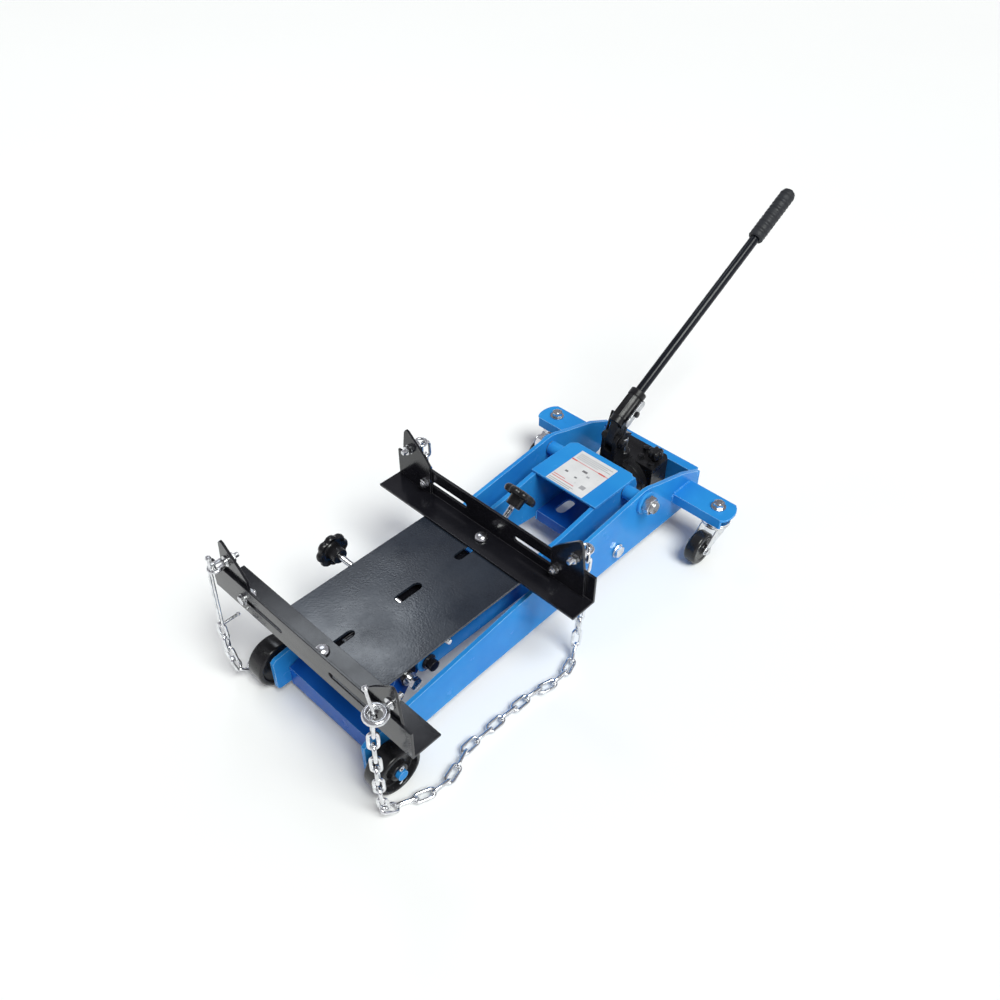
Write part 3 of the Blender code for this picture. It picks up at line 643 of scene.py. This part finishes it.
for side, sign in SIDES:
    turned("wheel_" + side, (0, *AXLE), (sign, 0, 0), rounded(TREAD, 1.6), TYRE,
           "front_wheel_" + side, count=72, ring=True)
    # split pin that keeps the wheel on its stub: legs, eye and a bent tail
    x, y, z = sign * PIN_X, *AXLE
    bm = tube_path(bmesh.new(), [(x, y, z + 12.5), (x, y, z - 10)], 1.3, 12)
    eye = [(x, y + 3.2 * math.cos(t), z + 14.5 + 3.2 * math.sin(t)) for t in around(16)]
    tube_path(bm, eye, 1.1, 10, True)
    tail = [(x, y, z - 9.5), (sign * 151.5, y - 3, z - 12), (sign * 152.0, y - 7, z - 12.5)]
    tube_path(bm, tail, 0.9, 8)
    add("split_pin_" + side, bm, ZINC, "frame", weld=False)

    fork, node = "fork_" + side, "caster_fork_" + side
    stud = (sign * STUD_X, 0, 0)
    hub = (sign * STUD_X, *CASTER_HUB)
    turned("caster_roller_" + side, hub, X_AXIS, rounded(ROLLER, 1.1), TYRE,
           "caster_wheel_" + side, count=60, ring=True)
    # pressed fork: two cheeks under a round race
    bm = bmesh.new()
    for sense in (-1, 1):
        slab(bm, CHEEK, "x", stud[0] + sense * 13.6, stud[0] + sense * 15.8)
    slab(bm, arc(stud, 21.5, 0, 360, 40)[:-1], "z", 58.2, 60.4)
    add("caster_yoke_" + side, bm, ZINC, fork, (node,), bevel=0.5, weld=False)
    turned("caster_race_" + side, stud, Z_AXIS, rounded(RACE, 0.6) + STUD, ZINC, None, fork)
    bm = lathe(bmesh.new(), hub, X_AXIS, bar(4.2, -17.6, 17.6), 32)
    hexagon(bm, hub, X_AXIS, 11, 15.9, 20.4)
    hexagon(bm, hub, LEFTWARDS, 11, 15.9, 20.0)
    add("caster_axle_" + side, bm, ZINC, fork, weld=False)
    # stud washer and nut on top of the wing
    bm = lathe(bmesh.new(), stud, Z_AXIS, tube(6.6, 12.4, 92.3, 93.9), 40, True)
    add("stud_washer_" + side, bm, ZINC, "frame")
    bm = hexagon(bmesh.new(), stud, Z_AXIS, 17.0, 94.0, 101.8, 6.6, 0.3 * sign)
    add("stud_nut_" + side, bm, ZINC, "frame")

# ------------------------------------------------------------------ pivots and pins
PIVOT = (0.0, -111.0, 129.0)
LINK_REAR = (-173.0, 64.0)
ARM_PIN = (0.0, -553.0, 90.0)
LINK_FRONT = (0.0, -615.0, 25.0)
TILT_AXIS = (0.0, -590.0, 86.0)
SHAFT = [
    (0, -128), (9.2, -128), *thread(10.2, -127.5, -111.5, 1.8, 0.9), (10.5, -110.5),
    (10.5, 110.5), *thread(10.2, 111.5, 127.5, 1.8, 0.9), (9.2, 128), (0, 128),
]
PIVOT_BOSS = [(10.8, 104.2), (20.0, 104.2), (20.0, 108.4), (18.6, 109.6), (10.8, 109.6)]
LINK_BOLT = [
    (0, 6.0), (12.0, 6.0), (12.0, 7.8), (7.5, 7.9), (7.5, 41.0), (6.8, 42.0), (6.8, 44.0),
    (0, 44.0),
]
SADDLE_PIN = [
    (0, -74), (9, -74), (9, 66.8), (12, 66.8), (12, 69.8), (9, 69.8), (9, 81), (0, 81),
]
turned("main_shaft", PIVOT, X_AXIS, SHAFT, STEEL, "pivot_shaft", count=56)
for side, sign in SIDES:
    outwards, inwards = (sign, 0, 0), (-sign, 0, 0)
    nut, bolt, cheek = "pivot_nut_" + side, "link_bolt_" + side, "side_plate_" + side
    bm = hexagon(bmesh.new(), PIVOT, outwards, 27.0, 110.2, 122.0, 10.8, 0.4)
    add("shaft_nut_" + side, bm, ZINC, "frame", (nut,))
    bm = lathe(bmesh.new(), PIVOT, outwards, rounded(PIVOT_BOSS, 0.8), 56, True)
    add("pivot_boss_" + side, bm, BLUE, "frame")
    start = (sign * 112.5, *LINK_REAR)
    bm = hexagon(bmesh.new(), start, inwards, 19.0, 0.0, 6.4, 0.0, 0.2)
    lathe(bm, start, inwards, LINK_BOLT, 40)
    add("link_pivot_bolt_" + side, bm, ZINC, "frame", (bolt,), weld=False)
    # spacer tube on the pivot shaft, between arm and plate
    bm = lathe(bmesh.new(), PIVOT, outwards, rounded(tube(10.7, 12.4, 67.0, 95.6), 0.6), 48, True)
    add("shaft_spacer_" + side, bm, BLUE, "frame")

turned("saddle_pin", ARM_PIN, X_AXIS, rounded(SADDLE_PIN, 0.9), BLACK, "arm_pin")
for name, axis, node, end, head in (
    ("link_cross_bolt", LINK_FRONT, "link_pin", 92.0, 90.0),
    ("tilt_hinge_bolt", TILT_AXIS, "tilt_bolt", 86.0, 84.0),
):
    shank = [
        (0, -end), (5.2, -end), *thread(5.9, -end + 0.6, -end + 16), (6.0, -end + 17),
        (6.0, head - 6.5), (0, head - 6.5),
    ]
    bm = lathe(bmesh.new(), axis, X_AXIS, shank, 36)
    hexagon(bm, axis, X_AXIS, 18.0, head - 7.0, head, 0.0, 0.35)
    hexagon(bm, axis, LEFTWARDS, 18.0, end - 12.0, end - 4.0, 6.0, 0.1)
    add(name, bm, ZINC, "saddle", (node,), weld=False)
bm = bmesh.new()
for sense in (-1, 1):
    lathe(bm, TILT_AXIS, (sense, 0, 0), tube(6.2, 11.5, 67.6, 69.6), 36, True)
add("tilt_washers", bm, ZINC, "saddle", weld=False)

# ------------------------------------------------------------------ handle
HANDLE_X = -12.0
HANDLE_DIR = Vector((0.0, 0.8655, 0.501)).normalized()
SOCKET = Vector((HANDLE_X, -44.0, 194.0))
RAM_AT = (0, 0, 62.0)
CYLINDER = [(14.8, -40.6), (33, -40.6), (33, -62), (36, -63), (36, -75), (32, -77), (14.8, -77)]
GROOVES_FROM, GROOVES_TO, GROOVE_PITCH = 407, 500, 15.0
turned("jack_cylinder", RAM_AT, Y_AXIS, rounded(CYLINDER, 1.2), CAST, "ram_cylinder", count=72,
       ring=True)
turned("jack_ram", RAM_AT, Y_AXIS, rounded(bar(14, -87, 24), 1.2), ZINC, "ram_rod", count=56)
turned("plunger", (HANDLE_X, -18, 0), Z_AXIS, rounded(bar(7, 80, 144), 1.2), STEEL,
       "pump_piston", count=40)
turned("handle_bar", SOCKET, HANDLE_DIR, rounded(bar(8.5, 7, 503), 1.0), TUBE, "handle_tube",
       count=56)


def finger_grooves(radius, along, t):
    """Hollows for the fingers along the grip's upper left side."""
    if radius < 10.5 or along < GROOVES_FROM or along > GROOVES_TO:
        return radius, 0.0
    lobe = max(0.0, math.cos(t - 2.2)) ** 2
    wave = 0.5 - 0.5 * math.cos(2 * math.pi * (along - 408) / GROOVE_PITCH)
    return radius - 1.6 * lobe * wave, 0.0


def ribbed(radius, along, t):
    """Raised ribs along the socket."""
    return (radius + 1.0 * max(0.0, math.cos(7 * t)) ** 3 if radius > 13 else radius), 0.0


grip = [(8.8, 402.5), (12.0, 402.2), (13.5, 404.5)]
grip += [(13.3 - 0.3 * math.sin(i), 406 + i * 1.25) for i in range(76)]
grip += [(12.6, 503), (11.0, 507), (7.0, 510), (0.0, 511)]
bm = lathe(bmesh.new(), SOCKET, HANDLE_DIR, grip, 56, False, finger_grooves)
lathe(bm, SOCKET, HANDLE_DIR, [(8.8, 402.5), (8.8, 440.0)], 56)
add("hand_grip", bm, GRIP, "lever", ("handle_grip",))

# collar and ribs round the socket
collar = rounded(tube(13.2, 14.6, 50, 61.6), 0.6)
bm = lathe(bmesh.new(), SOCKET, HANDLE_DIR, collar, 48, True)
add("socket_collar", bm, CAST, "lever")
ribs = rounded([(12.6, 4), (13.6, 5), (13.6, 49), (12.6, 49.5)], 0.5)
bm = lathe(bmesh.new(), SOCKET, HANDLE_DIR, ribs, 84, True, ribbed)
add("socket_ribs", bm, CAST, "lever")
# grey strap beside the socket, held by one bolt
strap = arc((-38, 194), 6.6, 122, 302, 10) + arc((-3, 214.5), 6.6, -58, 122, 10)
bm = slab(bmesh.new(), strap, "x", HANDLE_X + 16.4, HANDLE_X + 19.0)
add("socket_strap", bm, STEEL, "lever", bevel=0.5)
strap_bolt = (HANDLE_X, -20, 204.6)
bm = hexagon(bmesh.new(), strap_bolt, X_AXIS, 9.0, 19.2, 23.6, 0.0, 0.3)
lathe(bm, strap_bolt, X_AXIS, bar(3.6, 12.4, 19.4), 24)
add("socket_screw", bm, CAST, "lever", weld=False)
# links beside the lever's foot, and the pin it turns on
lever_link = arc((-50, 160), 8.5, 90, 270, 10) + arc((-38, 196), 7.0, -90, 90, 10)
for side, sign in SIDES:
    bm = slab(bmesh.new(), lever_link, "x", HANDLE_X + sign * 15.6, HANDLE_X + sign * 18.6)
    add("lever_link_" + side, bm, CAST, "frame", bevel=0.5)
lever_pin = (HANDLE_X, -50, 160)
bm = lathe(bmesh.new(), lever_pin, X_AXIS, rounded(bar(5.5, -22, 22), 0.8), 36)
hexagon(bm, lever_pin, X_AXIS, 12.0, 18.8, 24.0)
add("lever_pin", bm, CAST, "frame", weld=False)


# ------------------------------------------------------------------ hydraulic block
def star(radius, along, t):
    """Six lobes on the release valve's knob."""
    if radius < 9:
        return radius, 0.0
    return radius - 3.4 * (0.5 - 0.5 * math.cos(6 * t)) ** 1.4, 0.0


BLOCK_TOP = 104.2
PLUGS = (  # x, y, width across flats, height
    (-36, 20, 13, 6), (8, 24, 10, 5), (-40, -4, 10, 5), (41, -5, 9, 5), (14, 2, 9, 4),
)
STAR_KNOB = [(0, 98), (5, 98), (5, 110), (11, 110), (14, 113), (14, 122), (11, 126), (0, 127)]
FLANGE = [(43.2, -40.2), (38, -41.2), (38, -43.6), (33.2, -43.6), (33.2, -40.6), (30, -40.3)]
FLANGE_BAND = [(43.1, -30), (44.4, -29), (44.4, -21), (43.1, -20)]
GLAND = [(7.6, 0), (12.5, 0), (12.5, 8), (10.5, 10), (7.6, 10)]
turned("release_star", (36, 12, 0), Z_AXIS, rounded(STAR_KNOB, 1.4), KNOB, "release_knob",
       count=72, reshape=star)
# stepped flange where the cylinder meets the block, then plugs and the pump's gland
bm = lathe(bmesh.new(), RAM_AT, Y_AXIS, rounded(FLANGE, 0.5), 72, True)
lathe(bm, RAM_AT, Y_AXIS, rounded(FLANGE_BAND, 0.4), 72, True)
add("cylinder_flange", bm, CAST, "frame", weld=False)
for i, (x, y, flats, tall) in enumerate(PLUGS):
    bm = hexagon(bmesh.new(), (x, y, BLOCK_TOP), Z_AXIS, flats, 0.8, tall + 0.8, 0.0, 0.5 * i)
    lathe(bm, (x, y, BLOCK_TOP), Z_AXIS, bar(flats * 0.62, 0.0, 1.0), 32)
    add("block_plug_%d" % i, bm, CAST, "frame", weld=False)
bm = lathe(bmesh.new(), (HANDLE_X, -18, 108.4), Z_AXIS, rounded(GLAND, 0.8), 48, True)
add("pump_gland", bm, CAST, "frame")

# ------------------------------------------------------------------ tilt knobs
KNOB_REAR = Vector((0.0, -293.0, 197.0))
KNOB_AXIS = Vector((0.0, -0.81, -0.586)).normalized()
KNOB_SIDE = Vector((-158.0, -538.0, 144.4))
DISC = [
    (0.0, -7.0), (12.0, -6.6), (22.0, -5.6), (26.5, -3.4), (28.0, 0.0), (27.6, 4.0), (25.5, 6.8),
    (24.0, 6.4), (20.5, 2.2), (14.5, 1.6), (12.8, 4.5), (12.2, 21.0), (11.0, 22.0), (5.3, 22.0),
    (5.3, 5.0), (0.0, 5.0),
]


def lobed(radius, along, t):
    """Eight lobes on a knob's disc."""
    if radius < 19:
        return radius, 0.0
    wave = 0.5 - 0.5 * math.cos(8 * t)
    return radius - 3.0 * wave ** 2.0 * (radius / 28.0), 0.0


for tag, centre, axis, length in (
    ("rear", KNOB_REAR, KNOB_AXIS, 112.0), ("side", KNOB_SIDE, X_AXIS, 256.0),
):
    turned("knob_" + tag, centre, axis, rounded(DISC, 0.9, 2), KNOB, "tilt_knob_" + tag,
           count=84, reshape=lobed)
    screw = [
        (0, 5.4), (4.4, 5.4), (4.8, 22.0), *thread(4.8, 26.0, length - 2.0, 1.8, 0.6),
        (3.8, length), (0, length),
    ]
    turned("screw_" + tag, centre, axis, screw, ZINC, "tilt_screw_" + tag, count=30)
bm = hexagon(bmesh.new(), KNOB_REAR + KNOB_AXIS * 103, KNOB_AXIS, 18.0, -5.0, 4.0, 5.1)
add("screw_nut_rear", bm, ZINC, "tilt", ("tilt_nut",))

# ------------------------------------------------------------------ bolts and eyes on the irons
SLOT_BOLT_X, SLOT_BOLT_Z = 134.0, 185.5
EYE_X, EYE_Z = 168.0, 232.0
EYE_LOOP = {  # radius of the eye's ring, and of its wire
    "front_right": (13.0, 4.4), "front_left": (8.6, 2.6),
    "rear_left": (9.5, 2.1), "rear_right": (9.5, 2.1),
}
DECK_BOLT = [
    (0, 149), (5.0, 149), (5.0, 165.2), (10.5, 165.2), (10.2, 167.4), (8.6, 170.2), (5.4, 172.2),
    (0, 173),
]
SLOT_SHANK = [(0, -0.9), (3.9, -0.9), (3.9, 8.6), *thread(3.9, 9.0, 18.6), (0, 19.0)]
EYE_SHANK = [(0, -6.5), (4.0, -6.5), (4.0, 8.6), *thread(4.0, 9.2, 23.4), (0, 24.0)]
BALL = [(0, -4.4), (3.2, -3.0), (4.4, 0), (3.2, 3.0), (0, 4.4)]
for end, wall, sense, inset in (("front", -704.0, 1, 26.0), ("rear", -356.0, -1, 22.0)):
    turned("deck_bolt_" + end, (0, wall + sense * inset, 0), Z_AXIS, rounded(DECK_BOLT, 0.7),
           ZINC, "clamp_bolt_" + end)
    for side, sign in SIDES:
        tag = end + "_" + side
        inwards = (0, sense, 0)
        jaw, bolt, eye = "jaw_" + tag, "jaw_bolt_" + tag, "eye_bolt_" + tag
        spot = (sign * SLOT_BOLT_X, wall, SLOT_BOLT_Z)
        bm = lathe(bmesh.new(), spot, inwards, SLOT_SHANK, 32)
        hexagon(bm, spot, inwards, 13.0, -6.4, -1.9, 0.0, 0.3)
        lathe(bm, spot, inwards, tube(4.1, 8.4, -1.7, -0.3), 36, True)
        lathe(bm, spot, inwards, tube(4.1, 7.6, 8.8, 9.8), 36, True)
        hexagon(bm, spot, inwards, 13.0, 10.0, 15.6, 4.1, 0.5)
        add("slot_bolt_" + tag, bm, ZINC, jaw, (bolt,), weld=False)
        spot = (sign * EYE_X, wall, EYE_Z)
        bm = lathe(bmesh.new(), spot, inwards, EYE_SHANK, 32)
        lathe(bm, spot, inwards, tube(4.2, 8.4, 2.6, 4.0), 36, True)
        lathe(bm, spot, inwards, tube(4.2, 8.0, 8.7, 9.9), 36, True)
        hexagon(bm, spot, inwards, 13.5, 10.0, 16.4, 4.2, 0.2)
        loop, wire = EYE_LOOP[tag]
        middle = wall - sense * (5 + loop)
        hoop = [(sign * EYE_X + loop * math.cos(t), middle + loop * math.sin(t), EYE_Z)
                for t in around(48)]
        tube_path(bm, hoop, wire, 18, True)
        if tag != "front_right":
            # plain sleeve on the eye's shank
            reach = -8.0 if end == "rear" else -13.0
            lathe(bm, spot, inwards, rounded(tube(4.2, 8.2, reach, -1.0), 0.7), 40, True)
        if end == "front":
            # small pin with a ball end, through the eye
            out, up = (16.0, 34.0) if sign > 0 else (5.0, 17.0)
            tip = Vector((sign * EYE_X - out, -721.0, EYE_Z + up))
            foot = Vector((sign * EYE_X - 1.0, -724.0, 234.0))
            tube_path(bm, [tip, tip.lerp(foot, 0.5), foot], 2.4)
            lathe(bm, tip, (tip - foot).normalized(), BALL, 24)
        add("eye_" + tag, bm, ZINC, jaw, (eye,), weld=False)

# ------------------------------------------------------------------ label and welds
LABEL_OUTLINE = [(-38, -191), (38, -191), (38, -98), (-38, -98)]
BEAD_STEP = 1.6
BEAD_SIDES = 10
bm = slab(bmesh.new(), LABEL_OUTLINE, "z", 146.5, 146.9)
add("data_label", bm, LABEL, "arms", bevel=0.15)


def bead(name, points, radius, body):
    """A run of weld: a rippled tube half sunk in the corner."""
    fine = []
    for a, b in zip(points, points[1:]):
        a, b = Vector(a), Vector(b)
        steps = max(2, int((b - a).length / BEAD_STEP))
        fine += [a.lerp(b, i / steps) for i in range(steps)]
    fine.append(Vector(points[-1]))
    bm = bmesh.new()
    angles = [2 * math.pi * k / BEAD_SIDES for k in range(BEAD_SIDES)]
    rows = []
    for i, p in enumerate(fine):
        tangent = (fine[min(i + 1, len(fine) - 1)] - fine[max(i - 1, 0)]).normalized()
        side = tangent.orthogonal().normalized()
        other = tangent.cross(side)
        end = 0.35 if i in (0, len(fine) - 1) else 1.0
        ripple = 0.86 + 0.2 * abs(math.sin(i * 1.05)) + random.uniform(-0.05, 0.05)
        r = radius * end * ripple
        rows.append([bm.verts.new(at(p + (side * math.cos(t) + other * math.sin(t)) * r))
                     for t in angles])
    for near, far in zip(rows, rows[1:]):
        for k in range(BEAD_SIDES):
            m = (k + 1) % BEAD_SIDES
            bm.faces.new((near[k], near[m], far[m], far[k]))
    bm.faces.new(rows[0][::-1])
    bm.faces.new(rows[-1])
    add(name, bm, BLUE, body, weld=False)


for side, sign in SIDES:
    cheek = "side_plate_" + side
    x = sign * 104.4
    bead("weld_wing_top_" + side, [(x, -24, 91.6), (x, 22, 91.6)], 2.3, "frame")
    bead("weld_wing_front_" + side, [(x, -26.4, 75), (x, -26.4, 90)], 2.3, "frame")
    bead("weld_wing_rear_" + side, [(x, 24.6, 75), (x, 24.6, 90)], 2.3, "frame")
    x = sign * 96.8
    bead("weld_tie_" + side, [(x, 39.4, 45), (x, 39.4, 90)], 2.2, "frame")
    run = [(x, -675.6, 14), (x, -675.6, 42), (x, -652, 52)]
    bead("weld_channel_" + side, run, 2.2, "frame")
    run = [(sign * 104.6, AXLE[0] + 8.6 * math.cos(t), AXLE[1] + 8.6 * math.sin(t))
           for t in np.linspace(0, 2 * math.pi, 13)]
    bead("weld_stub_" + side, run, 2.0, "frame")
    x = sign * 66.3
    bead("weld_cover_" + side, [(x, -190, 142.2), (x, -98, 142.2)], 1.8, "arms")
    x = sign * 57.2
    bead("weld_web_" + side, [(x, -188.2, 39), (x, -188.2, 56)], 1.8, "arms")

# ------------------------------------------------------------------ chains
CHAIN_RIGHT = [
    (168, -728, 226), (168, -731, 180), (167, -731, 120), (165, -729, 60), (163, -722, 20),
    (166, -706, 8.2), (176, -684, 8.2), (186, -655, 8.2), (187, -630, 8.2), (178, -602, 8.2),
    (170, -578, 8.2), (171, -548, 8.2), (170, -520, 8.2), (171, -486, 8.2), (173, -446, 8.2),
    (181, -412, 8.2), (180, -380, 8.2), (171, -356, 9), (164, -342, 28), (161, -334, 70),
    (161, -332, 140), (164, -331, 226),
]
CHAIN_LEFT = [
    (-168, -728, 226), (-168, -731, 180), (-168, -731, 120), (-166, -729, 60), (-165, -720, 20),
    (-168, -704, 8.2), (-178, -672, 8.2), (-186, -636, 8.2), (-180, -596, 8.2), (-172, -556, 8.2),
    (-176, -516, 8.2), (-184, -476, 8.2), (-180, -436, 8.2), (-172, -400, 8.2), (-172, -366, 9),
    (-170, -342, 28), (-168, -332, 70), (-168, -331, 140), (-168, -332, 226),
]
LINK_PITCH, LINK_WIRE, LINK_WIDTH = 25.0, 2.5, 17.0
LYING_Z = 10.3
ROUTE_STEP = 4.0
HOOK_REACH = 108.0


def smooth_route(knots, spacing):
    """A Catmull-Rom run through the knots, as in the CAD, with points about spacing apart."""
    pts = [np.array(k, float) for k in knots]
    pts = [2 * pts[0] - pts[1]] + pts + [2 * pts[-1] - pts[-2]]
    fine = []
    for p0, p1, p2, p3 in zip(pts, pts[1:], pts[2:], pts[3:]):
        for t in np.linspace(0, 1, 12, endpoint=False):
            fine.append(0.5 * (2 * p1 + (p2 - p0) * t + (2 * p0 - 5 * p1 + 4 * p2 - p3) * t**2
                               + (3 * p1 - p0 - 3 * p2 + p3) * t**3))
    fine.append(pts[-2])
    fine = np.array(fine)
    along = np.concatenate([[0.0], np.cumsum(np.linalg.norm(np.diff(fine, axis=0), axis=1))])
    marks = np.linspace(0, along[-1], max(2, round(along[-1] / spacing)) + 1)
    return np.stack([np.interp(marks, along, fine[:, k]) for k in range(3)], axis=1)


def add_link(bm, centre, along, flat):
    """One oval link: along is its long axis, and flat is the direction across its opening."""
    bend = LINK_WIDTH / 2 - LINK_WIRE
    straight = (LINK_PITCH + 4 * LINK_WIRE) / 2 - LINK_WIRE - bend
    path = []
    for sense, first in ((1, -90), (-1, 90)):
        for k in range(9):
            t = math.radians(first + 180 * k / 8)
            reach = sense * straight + bend * math.cos(t)
            path.append(along * reach + flat * (bend * math.sin(t)))
    tube_path(bm, [centre + p for p in path], LINK_WIRE, 12, True)


def make_chain(side, knots, sign, hook=(), bare=0.0):
    """Links along a route, after a bare start that a wire hook fills."""
    route = smooth_route(knots, ROUTE_STEP)
    route[:, 2] = np.maximum(route[:, 2], LYING_Z)
    run = np.concatenate([[0.0], np.cumsum(np.linalg.norm(np.diff(route, axis=0), axis=1))])
    count = int(run[-1] // LINK_PITCH)
    pitch = run[-1] / count

    def point(along):
        return Vector([np.interp(along, run, route[:, k]) for k in range(3)])

    bm = bmesh.new()
    if hook:
        tube_path(bm, hook, 1.9)
    across = Vector(X_AXIS)
    for i in range(count):
        middle = (i + 0.5) * pitch
        if middle < bare:
            continue
        spot = point(middle)
        tangent = (point(min(run[-1], middle + 9)) - point(max(0, middle - 9))).normalized()
        across = (across - tangent * across.dot(tangent)).normalized()
        lean = 24 if spot.z < 16 else 36
        roll = math.radians((90 if i % 2 else 0) + lean * sign + random.uniform(-9, 9))
        flat = across * math.cos(roll) + tangent.cross(across) * math.sin(roll)
        add_link(bm, spot, tangent, flat)
    node = "chain_" + side
    obj = add("hold_down_" + side, bm, CHAIN, "deck", (node,), weld=False)


# long wire hook with a cross bar, between the left front eye and the first link of its chain
HOOK_WIRE = ((-730, 126), (-729, 150), (-728, 180), (-727, 208))
hook = [(-164.4, y, z) for y, z in HOOK_WIRE]
hook += [(-168 + 3.6 * math.cos(t), -726, 222 + 9.0 * math.sin(t))
         for t in np.linspace(0.0, math.pi, 9)]
hook += [(-171.6, y, z) for y, z in HOOK_WIRE[::-1]]
bm = tube_path(bmesh.new(), [(-168, -732, 126), (-168, -703, 126)], 2.3)
for y in (-732.0, -702.5):
    knob = [(0, -3.4), (2.6, -2.4), (3.5, 0), (2.6, 2.4), (0, 3.4)]
    lathe(bm, (-168, y, 126), Y_AXIS, knob, 20)
cross_bar = add("chain_cross_bar", bm, CHAIN, "deck", weld=False)
make_chain("right", CHAIN_RIGHT, 1)
make_chain("left", CHAIN_LEFT, -1, hook, HOOK_REACH)

# ------------------------------------------------------------------ floor
FLOOR_HALF = 30.0
floor = bpy.data.meshes.new("floor")
bm = bmesh.new()
bmesh.ops.create_grid(bm, x_segments=1, y_segments=1, size=FLOOR_HALF)
bm.to_mesh(floor)
bm.free()
floor = bpy.data.objects.new("floor", floor)
floor.location.z = -0.0005
bpy.context.scene.collection.objects.link(floor)
s = Shader("floor_paint")
s.set(Base_Color=s.mix(s.noise(0.7, 2.0), (0.90, 0.90, 0.90), (0.93, 0.93, 0.93)), Roughness=0.7)
floor.data.materials.append(s.mat)
